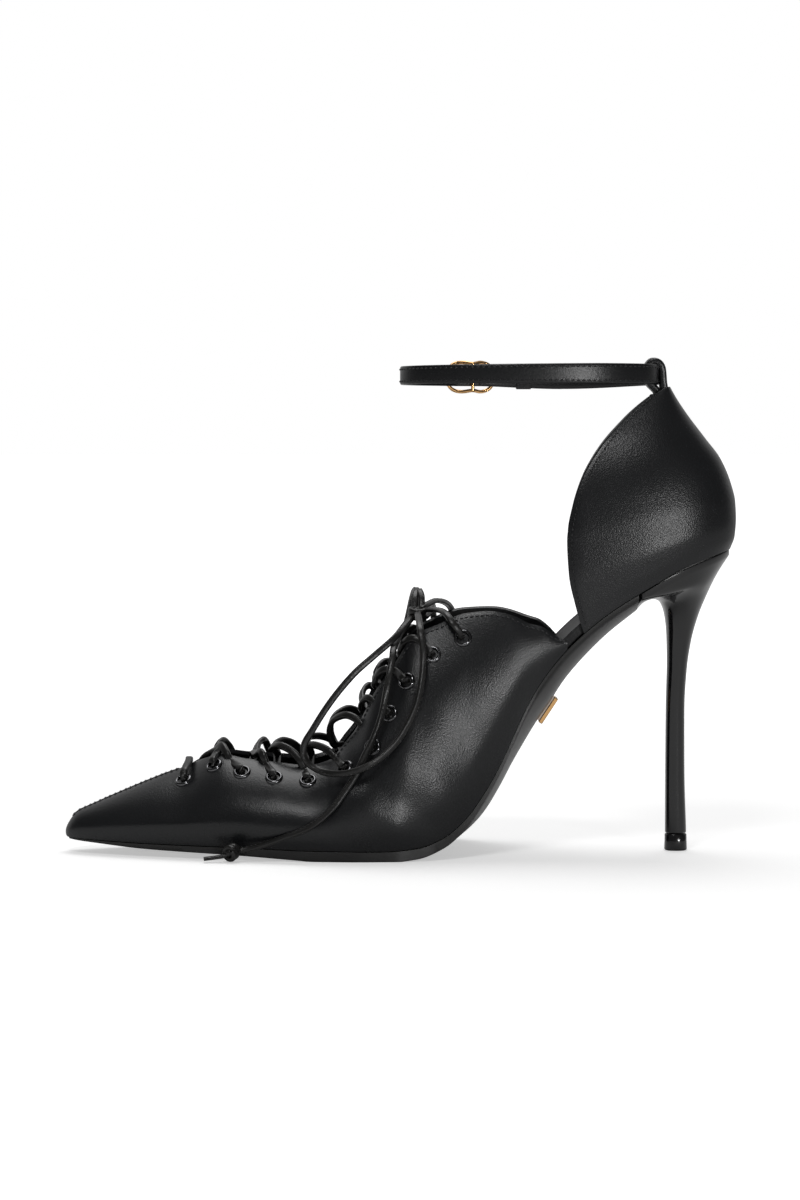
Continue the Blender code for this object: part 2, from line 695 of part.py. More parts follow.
def make_heel(finish):
    """Stiletto: the cupped seat, the breast that turns down from the sole, and the slim stem."""
    centre = middle(210.0)
    rings = []
    for drop in (False, True):
        ring = []
        for k in range(HEEL_ROUND):
            angle = 2 * math.pi * (k + 0.5) / HEEL_ROUND
            power, reach = (2 / 2.3, SEAT_BACK + TOE_X - 0.2 - HEEL_SIDE)
            if math.cos(angle) < 0:
                power, reach = (2 / 9.0, HEEL_SIDE - HEEL_FRONT)
            x = HEEL_SIDE + reach * power_of(math.cos(angle), power)
            y = 21.6 * power_of(math.sin(angle), power)
            along = x - TOE_X
            z = SEAM["height"](along) - GAP
            if drop:
                across = y / half_width(along) if math.cos(angle) < 0 else 1.0
                z = min(sole_underside(along, min(abs(across), 1.0)), z - 1.6)
            ring.append((x, centre + y, z))
        rings.append(ring)
    for front_x, front_z, square, side_x, side_y, side_z, back_x, back_z in HEEL_RINGS:
        ring = []
        for k in range(HEEL_ROUND):
            angle = 2 * math.pi * (k + 0.5) / HEEL_ROUND
            end_x, end_z, power = back_x, back_z, 2 / 2.2
            if math.cos(angle) < 0:
                end_x, end_z, power = front_x, front_z, 2 / square
            part = abs(math.cos(angle)) ** power
            x = side_x + (end_x - side_x) * part
            z = side_z + (end_z - side_z) * part
            ring.append((x, centre + side_y * power_of(math.sin(angle), power), z))
        rings.append(ring)
    count = HEEL_ROUND
    points = [p for ring in rings for p in ring]
    faces = [list(range(len(points) - count, len(points)))]
    for k in range(count // 2 - 1):
        faces.append([k, k + 1, count - 2 - k, count - 1 - k])
    for k in range(len(rings) - 1):
        for j in range(count):
            a, b = k * count + j, k * count + (j + 1) % count
            faces.append([a, b, b + count, a + count])
    return mesh_object("heel", points, faces, finish)


def make_heel_tip(finish):
    centre = middle(210.0)
    rings = []
    for z, grow in ((TIP_TOP, -0.35), (TIP_TOP - 0.4, 0.0), (0.3, 0.15), (0.0, -0.15)):
        ring = []
        for k in range(HEEL_ROUND):
            angle = 2 * math.pi * (k + 0.5) / HEEL_ROUND
            power = 2 / 2.4
            x = 95.9 + (3.8 + grow) * power_of(math.cos(angle), power)
            ring.append((x, centre + (3.7 + grow) * power_of(math.sin(angle), power), z))
        rings.append(ring)
    return loft("heel_tip", rings, finish)


def smooth_route(route, step):
    """Points at even steps along a smooth curve through a route."""
    route = [Vector(p) for p in route]
    dense = []
    for k in range(len(route) - 1):
        before = route[max(k - 1, 0)]
        a, b = route[k], route[k + 1]
        after = route[min(k + 2, len(route) - 1)]
        for n in range(12):
            t = n / 12
            dense.append(
                0.5 * (2 * a + (b - before) * t + (2 * before - 5 * a + 4 * b - after) * t**2
                       + (3 * a - before - 3 * b + after) * t**3)
            )
    dense.append(route[-1])
    lengths = [0.0]
    for a, b in zip(dense, dense[1:]):
        lengths.append(lengths[-1] + (b - a).length)
    count = max(round(lengths[-1] / step), 2)
    points = []
    for k in range(count + 1):
        place = lengths[-1] * k / count
        n = min(max(bisect_right(lengths, place) - 1, 0), len(dense) - 2)
        points.append(dense[n].lerp(dense[n + 1], (place - lengths[n]) / (lengths[n + 1] - lengths[n])))
    return points


def tube(name, path, radius, finish, sides=8, closed=False):
    """A round wire along a path."""
    path = [Vector(p) for p in path]
    count = len(path)
    points, up = [], None
    for k, point in enumerate(path):
        if closed:
            ahead, behind = path[(k + 1) % count], path[k - 1]
        else:
            ahead, behind = path[min(k + 1, count - 1)], path[max(k - 1, 0)]
        run = (ahead - behind).normalized()
        if up is None:
            up = run.orthogonal()
        up = (up - run * up.dot(run)).normalized()
        across = run.cross(up)
        for n in range(sides):
            angle = 2 * math.pi * n / sides
            points.append(point + (up * math.cos(angle) + across * math.sin(angle)) * radius)
    faces = []
    for k in range(count if closed else count - 1):
        first, second = k * sides, (k + 1) % count * sides
        shift = 0
        if closed and k == count - 1:
            gaps = [(points[first] - points[n]).length for n in range(sides)]
            shift = gaps.index(min(gaps))
        for n in range(sides):
            m = (n + 1) % sides
            faces.append([first + n, first + m, second + (m + shift) % sides, second + (n + shift) % sides])
    if not closed:
        faces += [list(range(sides)), list(range(len(points) - sides, len(points)))]
    return mesh_object(name, points, faces, finish)


def eyelet_frames():
    """Centre, outward direction and side of each eyelet."""
    frames = []
    for side_name, side in SIDES.items():
        for number in range(len(EYELETS)):
            centre, axis = eyelet_spot(number, side)
            frames.append((f"eyelet_{side_name}_{number + 1:02d}", centre, axis))
    return frames


def around_axis(centre, axis, radius, height, sides):
    """A ring of points around an axis, at a height above its centre."""
    across = axis.orthogonal().normalized()
    other = axis.cross(across)
    ring = []
    for k in range(sides):
        angle = 2 * math.pi * k / sides
        ring.append(centre + axis * height + (across * math.cos(angle) + other * math.sin(angle)) * radius)
    return ring


def make_eyelets(upper, metal):
    """Metal rings through the wall, and the holes for them."""
    cutters = []
    for name, centre, axis in eyelet_frames():
        top, foot = EYELET_SEAT + EYELET_FLANGE, -WALL - 0.5
        profile = [
            (EYELET_BORE, top - 0.2), (EYELET_OUTER - 0.6, top),
            (EYELET_OUTER, EYELET_SEAT), (EYELET_BARREL, EYELET_SEAT), (EYELET_BARREL, foot), (EYELET_BORE, foot),
        ]
        points, faces, sides = [], [], EYELET_SIDES
        for radius, height in profile:
            points += around_axis(centre, axis, radius, height, sides)
        for k in range(len(profile)):
            first, second = k * sides, (k + 1) % len(profile) * sides
            for n in range(sides):
                m = (n + 1) % sides
                faces.append([first + n, first + m, second + m, second + n])
        mesh_object(name, points, faces, metal)
        rings = [around_axis(centre, axis, EYELET_HOLE, height, EYELET_SIDES) for height in (3.0, -WALL - 2.5)]
        cutters.append(loft(name + "_hole", rings, metal))
    for cutter in cutters:
        boolean(upper, cutter, "DIFFERENCE")


def eyelet_spot(number, side):
    """Centre and outward direction of an eyelet, counted from 0 at the toe."""
    along, depth = EYELETS[number]
    share = share_at_height(along, side, edge_point(along, side)[1] - depth)
    return upper_point(along, side, share), upper_normal(along, side, share)


def nearest_edge(number, side, shift):
    """The throat's edge nearest to an eyelet, its outward direction and the way up to it."""
    spot, _ = eyelet_spot(number, side)
    reach = [EYELETS[number][0] + 0.5 * k for k in range(-34, 24)]
    along = min((a for a in reach if a > THROAT + 5), key=lambda a: (upper_point(a, side, 1.0) - spot).length)
    edge, out = upper_point(along + shift, side, 1.0), upper_normal(along + shift, side, 0.97)
    rise = edge - spot
    return edge, out, (rise - out * rise.dot(out)).normalized()


def lace_strand(name, start, end, finish):
    """Half of a crossing: up from one eyelet, over its edge, and under the other edge to the next eyelet."""
    spot, out = eyelet_spot(*start)
    edge, edge_out, rise = nearest_edge(*start, 1.0)
    lifted = spot + out * LACE_LIFT
    way = (edge - spot).normalized()
    path = [lifted, lifted + (way - out * way.dot(out)).normalized() * (EYELET_OUTER + 0.2)]
    if (edge - spot).length > 6.5:
        path.append(edge + edge_out * 2.0 - rise * 1.4)
    path += [edge + edge_out * 0.9 + rise * 2.0, edge - edge_out * (WALL + 0.9) + rise * 2.0]
    spot, out = eyelet_spot(*end)
    edge, edge_out, rise = nearest_edge(*end, -1.0)
    path += [
        edge - edge_out * (WALL + 2.4),
        edge - edge_out * (WALL + 2.0) - rise * 1.6,
        spot + rise * (EYELET_BARREL + LACE + 0.2) - out * (WALL + GAP + LACE + 0.5),
    ]
    return tube(name, path, LACE, finish, sides=6)


def make_crossings(finish):
    """The straight bar below the first eyelets and the crossings above it."""
    for number in range(len(EYELETS) - 1):
        name = f"lace_cross_{number + 1:02d}"
        one = lace_strand(name, (number, MEDIAL), (number + 1, LATERAL), finish)
        other = lace_strand(name + "_other", (number, LATERAL), (number + 1, MEDIAL), finish)
        boolean(one, other, "UNION")


def cord(name, points, finish):
    """A curve with a round section."""
    data = bpy.data.curves.new(name, "CURVE")
    data.dimensions = "3D"
    data.bevel_depth = LACE * MM
    data.bevel_resolution = 2
    data.use_fill_caps = True
    line = data.splines.new("POLY")
    line.points.add(len(points) - 1)
    for spot, point in zip(line.points, points):
        spot.co = (*(Vector(point) * MM), 1.0)
    data.materials.append(finish)
    made = bpy.data.objects.new(name, data)
    bpy.context.scene.collection.objects.link(made)
    return made


def make_cords(finish):
    """The lace from the top eyelets on: its ties, knot, bow and free ends."""
    for name, route in CORD_ROUTES.items():
        cord(name, smooth_route(route, CORD_STEP), finish)
    ring = []
    for k in range(8):
        angle = math.radians(40 * k)
        x, y, z = KNOT_CENTRE
        ring.append((x + KNOT_RADIUS * math.cos(angle), y, z + KNOT_RADIUS * math.sin(angle)))
    cord("lace_knot", ring, finish)
    for name, (centre, run) in END_KNOTS.items():
        run = Vector(run).normalized()
        points = [Vector(centre) + run * s for s in (-2.6, 0.0)]
        points += [Vector(centre) + run * s for s in (3.4, 9.0)]
        cord(name, points, finish)


def strap_plan(angle, offset):
    """A point of the strap's middle line in plan, moved outwards by the offset."""
    power = 2 / STRAP_POWER
    long_half = STRAP_LENGTH / 2 - STRAP_THICK / 2

    def on_ring(degrees):
        turn = math.radians(degrees)
        return Vector((
            STRAP_LENGTH / 2 + long_half * power_of(math.cos(turn), power),
            (STRAP_HALF - STRAP_THICK / 2) * power_of(math.sin(turn), power),
        ))

    run = on_ring(angle + 1) - on_ring(angle - 1)
    return on_ring(angle) + Vector((run.y, -run.x)).normalized() * offset


def strap_heights(x, y):
    """Lower and upper edge of the strap."""
    low = STRAP_LOW - STRAP_DROP * (y / STRAP_HALF + 1) / 2
    front, back = STRAP_TALL
    return low, low + front + (back - front) * min(max(x / 68, 0), 1)


def make_strap(finish):
    steps = 72
    begin, end = STRAP_RISE
    rings = []
    for k in range(steps + 1):
        angle = STRAP_START + (STRAP_END - STRAP_START) * k / steps
        share = min(max((angle - begin) / (end - begin), 0), 1)
        offset = OVERLAY * (3 - 2 * share) * share**2
        inner, outer = (strap_plan(angle, offset + s * STRAP_THICK / 2) for s in (-1, 1))
        low, high = strap_heights(inner.x, inner.y)
        pinch = max(angle - STRAP_END - 8, -8) / -8 if angle < STRAP_END + 8 else 0.0
        low, high = low + 2.2 * pinch, high - 2.2 * pinch
        rings.append([
            (inner.x, inner.y, low), (outer.x, outer.y, low), (outer.x, outer.y, high), (inner.x, inner.y, high)
        ])
    strap = loft("ankle_strap", rings, finish)
    hole = Vector((*strap_plan(buckle_angle(BUCKLE_X - PRONG_SHIFT), OVERLAY), buckle_height()))
    rings = [around_axis(hole, Vector((0, 1, 0)), PRONG_HOLE, height, 8) for height in (-1.6, 1.6)]
    boolean(strap, loft("prong_hole", rings, finish), "DIFFERENCE")


def buckle_angle(x):
    """The angle of the strap's loop at a place on its lateral side."""
    low, high = 60.0, 178.0
    for _ in range(40):
        angle = (low + high) / 2
        if strap_plan(angle, 0).x > x:
            low = angle
        else:
            high = angle
    return low


def buckle_height():
    low, high = strap_heights(BUCKLE_X, STRAP_HALF)
    return (low + high) / 2


def make_buckle(gold):
    """A bowed frame, its straight bar, and a prong that rests on the frame."""
    middle_z, power = buckle_height(), 2 / 3
    path = []
    for k in range(28):
        turn = 2 * math.pi * k / 28
        along = BUCKLE_HALF_LENGTH * power_of(math.cos(turn), power)
        waist = BUCKLE_WAIST * math.exp(-((along / 2.4) ** 2))
        rise = (BUCKLE_HALF_HEIGHT - waist) * power_of(math.sin(turn), power)
        x, y = strap_plan(buckle_angle(BUCKLE_X + along), min(BUCKLE_LIFT, BUCKLE_LIFT * abs(along) / 4.6))
        path.append((x, y, middle_z + rise))
    frame = tube("buckle_frame", path, BUCKLE_WIRE, gold, sides=8, closed=True)
    x, y = strap_plan(buckle_angle(BUCKLE_X), 0.0)
    reach = BUCKLE_HALF_HEIGHT - BUCKLE_WAIST
    bar = tube("buckle_bar", [(x, y, middle_z - reach), (x, y, middle_z + reach)], BUCKLE_WIRE, gold)
    boolean(frame, bar, "UNION")
    rest = BUCKLE_LIFT + BUCKLE_WIRE + GAP + PRONG
    spots = [(-PRONG_SHIFT, 1.0), (-PRONG_SHIFT, 3.2), (-2.4, 4.3), (-4.6, rest - 0.1),
             (-6.6, rest + 0.05), (-8.4, rest - 0.1)]
    path = [(*strap_plan(buckle_angle(BUCKLE_X + along), lift), middle_z) for along, lift in spots]
    tube("buckle_prong", path, PRONG, gold, sides=8)


def make_keeper(finish):
    """A loop around the strap and its free end."""
    rings = []
    inside, outside = -STRAP_THICK / 2 - GAP, OVERLAY + STRAP_THICK / 2 + GAP
    low, high = strap_heights(KEEPER_X[0], STRAP_HALF)
    low, high = low - 2 * GAP, high + 2 * GAP
    points, faces = [], []
    for x in KEEPER_X:
        angle = buckle_angle(x)
        for grow in (0.0, KEEPER_THICK):
            for offset, z in ((inside - grow, low - grow), (outside + grow, low - grow),
                              (outside + grow, high + grow), (inside - grow, high + grow)):
                points.append((*strap_plan(angle, offset), z))
    for k in range(4):
        m = (k + 1) % 4
        faces += [[k, m, m + 4, k + 4], [k + 8, m + 8, m + 12, k + 12], [k, m, m + 8, k + 8],
                  [k + 4, m + 4, m + 12, k + 12]]
    mesh_object("strap_keeper", points, faces, finish)


def make_strap_loop(finish):
    """The leather loop on the counter's peak, around the back of the ankle strap."""
    centre = middle(210.0)
    path = smooth_route([(x, 0, z) for x, z in LOOP_PATH], 1.8)
    rings = []
    for k, point in enumerate(path):
        run = (path[min(k + 1, len(path) - 1)] - path[max(k - 1, 0)]).normalized()
        out = Vector((-run.z, 0, run.x)) * LOOP_THICK / 2
        rings.append([
            point + out * across + Vector((0, centre + LOOP_HALF * side, 0))
            for across, side in ((1, -1), (1, 1), (-1, 1), (-1, -1))
        ])
    loft("strap_loop", rings, finish)


def make_plate(gold):
    """A small plain plate under the shank."""
    centre = middle(PLATE_X[0] - TOE_X)
    ends = [Vector((x, centre, sole_underside(x - TOE_X, 0))) for x in PLATE_X]
    run = (ends[1] - ends[0]).normalized()
    down = Vector((run.z, 0, -run.x))
    rings = []
    for end in ends:
        near, far = end + down * (GAP + 0.25), end + down * (GAP + 0.25 + PLATE_THICK)
        across = Vector((0, PLATE_HALF, 0))
        rings.append([near - across, near + across, far + across * 0.94, far - across * 0.94])
    loft("sole_plate", rings, gold)


def clear_scene():
    for old in list(bpy.data.objects):
        bpy.data.objects.remove(old)


def main():
    clear_scene()
    leather = material("black_leather", (0.012, 0.012, 0.014), 0.38)
    lining = material("black_lining", (0.02, 0.02, 0.022), 0.5)
    sole_leather = material("black_sole", (0.015, 0.015, 0.017), 0.35)
    gloss = material("gloss_black", (0.008, 0.008, 0.009), 0.08)
    metal = material("black_metal", (0.02, 0.02, 0.022), 0.2, 1.0)
    gold = material("gold", (0.83, 0.62, 0.33), 0.2, 1.0)
    lace = material("black_lace", (0.014, 0.014, 0.016), 0.4)
    make_outsole(sole_leather)
    make_heel(gloss)
    make_heel_tip(gloss)
    make_insole(lining)
    upper = make_upper_front(leather)
    make_upper_back(leather)
    make_eyelets(upper, metal)
    make_crossings(lace)
    make_cords(lace)
    make_strap(leather)
    make_strap_loop(leather)
    make_keeper(leather)
    make_buckle(gold)
    make_plate(gold)


main()
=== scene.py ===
# A right lace up heel in black leather: pointed toe, crossed lace, cut-out sides, stiletto heel and ankle strap.
# The toe points to -X, the heel to +X, the inner side of the foot to -Y. Sizes are in millimetres until a mesh is made.

import bpy
import bmesh
import math
from bisect import bisect_right
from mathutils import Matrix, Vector


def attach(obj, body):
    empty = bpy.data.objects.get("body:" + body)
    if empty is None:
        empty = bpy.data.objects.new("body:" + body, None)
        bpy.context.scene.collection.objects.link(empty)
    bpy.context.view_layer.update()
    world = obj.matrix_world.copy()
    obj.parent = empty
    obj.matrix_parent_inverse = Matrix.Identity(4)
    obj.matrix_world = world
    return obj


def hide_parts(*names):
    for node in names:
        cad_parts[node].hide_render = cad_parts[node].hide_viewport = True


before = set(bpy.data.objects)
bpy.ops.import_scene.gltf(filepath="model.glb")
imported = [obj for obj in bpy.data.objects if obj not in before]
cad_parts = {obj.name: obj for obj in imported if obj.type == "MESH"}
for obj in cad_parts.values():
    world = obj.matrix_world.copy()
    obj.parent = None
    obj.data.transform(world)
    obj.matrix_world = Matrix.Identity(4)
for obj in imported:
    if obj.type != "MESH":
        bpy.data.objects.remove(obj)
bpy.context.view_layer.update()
mm = 0.001
print("frame loaded")

# camera: level with the shoe, a little above the floor, straight at the inner side
cameraLook = {"distance": 1310, "elevation": 3.5, "aimHeight": 87, "lens": 113.25, "sensor": 36}

def addObject(name, data):
    made = bpy.data.objects.new(name, data)
    bpy.context.scene.collection.objects.link(made)
    return made

def addCamera():
    tilt = math.radians(cameraLook["elevation"])
    data = bpy.data.cameras.new("shoeCamera")
    data.sensor_fit = "VERTICAL"
    data.sensor_height = cameraLook["sensor"]
    data.lens = cameraLook["lens"]
    data.clip_start, data.clip_end = 0.01, 50
    camera = addObject("shoeCamera", data)
    back = cameraLook["distance"]
    camera.location = (0, -back * math.cos(tilt) * mm, (cameraLook["aimHeight"] + back * math.sin(tilt)) * mm)
    camera.rotation_euler = (math.pi / 2 - tilt, 0, 0)
    bpy.context.scene.camera = camera

addCamera()
print("camera placed")

def curveThrough(places, values):
    # A smooth curve through points that never overshoots them.
    steps = [b - a for a, b in zip(places, places[1:])]
    slopes = [(b - a) / s for a, b, s in zip(values, values[1:], steps)]
    tangents = [slopes[0]]
    for before, after in zip(slopes, slopes[1:]):
        sameWay = before * after > 0
        tangents.append(2 * before * after / (before + after) if sameWay else 0.0)
    tangents.append(slopes[-1])

    def value(place):
        place = min(max(place, places[0]), places[-1])
        k = min(bisect_right(places, place) - 1, len(steps) - 1)
        t = (place - places[k]) / steps[k]
        return (
            (1 + 2 * t) * (1 - t) ** 2 * values[k]
            + t * (1 - t) ** 2 * steps[k] * tangents[k]
            + t * t * (3 - 2 * t) * values[k + 1]
            + t * t * (t - 1) * steps[k] * tangents[k + 1]
        )

    return value

def table(columns, rows, firstUnit=1.0, **units):
    # Named curves over the first column. Each column is multiplied by its unit.
    names = columns.split()
    places = [row[0] * firstUnit for row in rows]
    return {
        name: curveThrough(places, [row[k] * units.get(name, 1.0) for row in rows])
        for k, name in enumerate(names)
        if k
    }

# Driving sizes of the shoe
shoeLength = 232.0  # toe to the back of the heel, measured along the floor
ballHalf = 36.0  # half the width of the sole at the ball of the foot
seatHeight = 105.3  # height of the seam between upper and heel, at the back
wallThick = 1.5  # leather and lining
gapSize = 0.3  # between pieces that touch
toeX = -shoeLength / 2

# Heel seat
seatStart = 178.8  # from the toe: the counter's front corners
seatBack = 230.1  # from the toe: the seam at the back
seatHalf = 22.3
seatPower = 3.2  # squareness of the seat's outline

# Sections of the last, a row for each: percent of the length from the toe, then the middle of the foot
# and half the width at the seam, as percent of half the sole's width at the ball
outline = table("along middle half", [
    (0.0, -13.9, 14.0), (2.2, -14.0, 18.0), (4.3, -14.2, 24.0), (8.6, -13.9, 35.6), (12.9, -13.0, 46.4),
    (19.4, -11.4, 61.4), (25.9, -8.9, 75.0), (32.3, -5.6, 86.7), (38.8, -2.9, 95.1), (45.3, -0.3, 99.4),
    (49.0, 1.2, 99.4), (53.9, 3.2, 94.2), (60.3, 4.2, 81.4), (66.8, 3.2, 69.4), (71.1, 1.2, 64.0), (77.1, -2.4, 61.9),
    (100.0, -3.4, 61.9),
], shoeLength / 100, middle=ballHalf / 100, half=ballHalf / 100)

# Height of the seam between upper and sole, as percent of the seat's height
seam = table("along height", [
    (0.0, 5.1), (12.9, 4.5), (25.9, 4.3), (36.6, 3.7), (47.4, 3.5), (52.6, 4.4), (56.5, 7.6), (59.5, 12.9),
    (62.5, 21.8), (64.7, 30.2), (66.8, 40.1), (69.0, 50.5), (71.6, 59.8), (74.6, 67.8), (77.6, 74.1), (81.0, 80.0),
    (85.3, 86.0), (92.2, 94.4), (99.2, 100.0), (100.0, 100.4),
], shoeLength / 100, height=seatHeight / 100)

# Sole: depth of its edge and how far its underside bulges below that, in millimetres
soleDepth = table("along band belly", [
    (0.0, 0.6, 0.0), (5.2, 1.2, 0.0), (11.6, 2.0, 0.0), (22.8, 2.7, 0.0), (34.9, 3.6, 0.0), (37.9, 4.0, 0.0),
    (48.7, 4.0, 0.0), (53.9, 3.9, 0.0), (56.5, 3.8, 0.8), (59.5, 3.5, 3.0), (62.5, 3.0, 6.4), (64.7, 2.7, 7.4),
    (66.8, 2.4, 9.0), (69.0, 2.4, 11.2), (71.6, 2.4, 11.6), (74.6, 2.2, 9.4), (77.6, 2.2, 7.8), (81.0, 2.2, 6.2),
    (84.9, 2.2, 4.6), (91.4, 2.2, 0.0), (100.0, 2.2, 0.0),
], shoeLength / 100)

# Where the front of the upper ends: its ridge over the toes, then the laced throat, the rising front of the
# quarters and the topline. The height is percent of the seat's height, the gap is from the middle to each edge.
upperEdge = table("along height gap drop", [
    (0.0, 10.9, 0.0, 0.0), (0.9, 12.6, 0.0, 0.0), (2.9, 14.5, 0.0, 0.0), (7.3, 18.8, 0.0, 0.0),
    (14.2, 25.1, 0.0, 0.0), (18.0, 28.2, 0.0, 0.0), (20.7, 31.0, 4.2, 0.0), (23.7, 32.8, 8.4, 0.0),
    (27.2, 31.7, 12.2, 0.0), (31.5, 30.8, 15.4, 0.0), (36.2, 29.9, 17.6, 0.0), (39.7, 31.8, 19.0, 0.0),
    (41.6, 36.7, 19.8, 0.0), (43.5, 42.0, 20.6, 0.0), (46.1, 53.4, 21.8, 0.0), (49.6, 64.6, 22.5, 0.2),
    (51.7, 71.6, 22.9, 0.5), (55.2, 76.3, 23.3, 0.8), (59.5, 80.7, 23.8, 0.9), (64.0, 81.6, 24.0, 1.0),
    (70.7, 79.9, 23.6, 3.4), (73.4, 75.4, 23.0, 2.0), (74.8, 71.2, 22.8, 0.3),
], shoeLength / 100, height=seatHeight / 100)

# Roundness of the front of the upper: bulge beyond the seam in millimetres, the height of that bulge as a
# share of the wall, how far the wall has turned in at its edge, and how tent-like its section is
roundness = table("along bulge waist turn crown", [
    (0.0, 0.3, 0.38, 90.0, 1.10), (4.3, 1.0, 0.36, 90.0, 1.14), (12.9, 1.7, 0.32, 90.0, 1.32),
    (18.0, 2.0, 0.30, 88.0, 1.42), (23.7, 2.2, 0.28, 66.0, 1.30), (31.5, 2.5, 0.28, 52.0, 1.12),
    (39.7, 2.6, 0.28, 44.0, 1.04), (46.1, 2.6, 0.20, 40.0, 1.00), (51.7, 2.8, 0.18, 38.0, 1.00),
    (57.0, 3.2, 0.22, 37.0, 1.00), (62.1, 3.4, 0.30, 36.0, 1.00), (66.4, 3.2, 0.44, 36.0, 1.00),
    (70.7, 2.2, 0.55, 36.0, 1.00), (75.2, 1.0, 0.60, 36.0, 1.00),
], shoeLength / 100)

# Heel counter: levels from the seam to the peak. Front edge, back, and half the width at the front edge.
counterLevels = table("level frontX frontZ backX backZ half", [
    (0.00, 62.8, 77.0, 114.1, 105.3, 22.3), (0.12, 60.0, 86.2, 115.6, 110.0, 23.8),
    (0.25, 57.4, 97.5, 116.0, 115.6, 24.8), (0.38, 56.8, 108.9, 115.7, 121.6, 24.6),
    (0.50, 58.6, 119.0, 114.0, 128.4, 23.6), (0.62, 62.2, 129.6, 110.6, 136.2, 21.6),
    (0.74, 68.8, 140.6, 105.2, 143.4, 18.2), (0.86, 77.8, 150.6, 99.0, 151.6, 13.0),
    (0.94, 84.4, 157.0, 95.3, 157.2, 9.0), (1.00, 88.6, 160.6, 93.2, 160.9, 6.4),
])
counterPower = 3.2

# Heel: rings from the seat down. Front, side and back of each ring, and how square its front is.
heelRings = [
    # frontX, frontZ, square, sideX, sideY, sideZ, backX, backZ
    (86.0, 88.0, 5.0, 97.0, 17.2, 91.4, 109.4, 95.8), (89.4, 87.0, 3.6, 97.2, 12.2, 88.2, 106.1, 88.7),
    (91.4, 83.2, 3.0, 97.3, 8.5, 82.6, 103.3, 81.6), (92.4, 75.0, 2.6, 97.0, 6.0, 73.2, 100.9, 72.6),
    (92.6, 65.0, 2.4, 96.2, 4.8, 63.0, 99.5, 62.6), (92.3, 50.0, 2.4, 95.6, 3.9, 49.0, 98.8, 48.8),
    (92.2, 28.0, 2.4, 95.6, 3.5, 28.0, 98.9, 28.0), (92.2, 6.2, 2.4, 95.9, 3.6, 6.2, 99.6, 6.2),
]
heelFront = 81.2
heelSide = 88.0
tipTop = 5.9

# Eyelets: distance from the toe and depth below the edge of the throat, in millimetres
eyeletPlaces = [
    (41.4, 3.8), (52.1, 3.0), (61.9, 4.2), (73.0, 4.6), (84.6, 4.5), (97.3, 8.0), (106.7, 16.7), (112.4, 14.0),
    (118.2, 12.1), (126.9, 9.7), (137.4, 9.3),
]
eyeletOuter = 3.1
eyeletBore = 1.9
eyeletBarrel = 2.2

# Ankle strap: a loop whose free end passes over the buckle's bar and lies on the strap's start
strapLength = 89.8
strapHalf = 24.5
strapPower = 2.3
strapThick = 1.7
strapLow = 162.2  # lower edge on the medial side
strapDrop = 1.3  # how much lower the lateral side hangs
strapTall = (6.3, 7.0)  # height in front and at the back
strapStart = 109.0  # degrees, from the back towards the lateral side
strapEnd = -290.0
strapRise = (-224.0, -240.0)  # where the free end climbs over the bar
strapOverlay = strapThick + gapSize

# Buckle
buckleX = 25.6
buckleHalfLength = 7.6
buckleHalfHeight = 5.4
buckleWaist = 0.7
buckleWire = 0.65
buckleLift = strapOverlay + strapThick / 2 + gapSize + buckleWire + 0.1
prongRadius = 0.45
prongShift = 1.15  # from the bar to the prong's hole
keeperX = (41.0, 46.0)

loopHalf = 4.4  # half the width of the loop on the counter's peak

# Plate under the shank
plateX = (47.5, 53.2)
plateThick = 1.5
plateHalf = 4.0

def powerOf(value, power):
    return math.copysign(abs(value) ** power, value)

def roundedEnd(distance, reach):
    # Grows from 0 to 1 over the reach, as a round end does.
    share = min(max(distance / reach, 0.0), 1.0)
    return math.sqrt(1 - (1 - share) ** 2)

def seek(low, high, rounds, tooLow):
    # Halves a range again and again, down to where the test turns.
    for _ in range(rounds):
        place = (low + high) / 2
        if tooLow(place):
            low = place
        else:
            high = place
    return low

def lengthsAlong(line):
    # The length of a line of points up to each of them.
    lengths = [0.0]
    for a, b in zip(line, line[1:]):
        lengths.append(lengths[-1] + (b - a).length)
    return lengths

def spotAt(line, lengths, place):
    # A point on a line of points, at a length from its start.
    n = min(max(bisect_right(lengths, place) - 1, 0), len(lengths) - 2)
    return line[n].lerp(line[n + 1], (place - lengths[n]) / max(lengths[n + 1] - lengths[n], 1e-6))

def runAt(line, k):
    # The direction of a line of points at one of them.
    return (line[min(k + 1, len(line) - 1)] - line[max(k - 1, 0)]).normalized()

def spread(start, end, count):
    # Places after the start, up to and including the end.
    return [start + (end - start) * k / count for k in range(1, count + 1)]

throatStart = 18.0 * shoeLength / 100
upperRear = 74.6 * shoeLength / 100

middle = outline["middle"]

def halfWidth(along):
    # Half the width at the seam between upper and sole.
    if along > seatStart:
        share = min((along - seatStart) / (seatBack - seatStart), 1.0)
        return seatHalf * (1 - share**seatPower) ** (1 / seatPower)
    return outline["half"](along) * roundedEnd(along, 7.0)

def seamHeight(along):
    nose = 1 - roundedEnd(along, 1.2)
    return seam["height"](along) + 1.6 * nose

def seamSlope(along):
    step = 0.5
    return (seam["height"](along + step) - seam["height"](along - step)) / (2 * step)

def soleHalf(along):
    # The sole starts a little behind the tip of the upper and comes level with it further back.
    return halfWidth(max(along - 1.1 * max(1 - along / 30, 0), 0.02)) - 0.1

def soleUnderside(along, across):
    # Height under the sole. Across runs from -1 to 1 over its width.
    bulge = soleDepth["belly"](along) * (1 - abs(across) ** 2.4)
    return max(seam["height"](along) - soleDepth["band"](along) - bulge, 0.0)

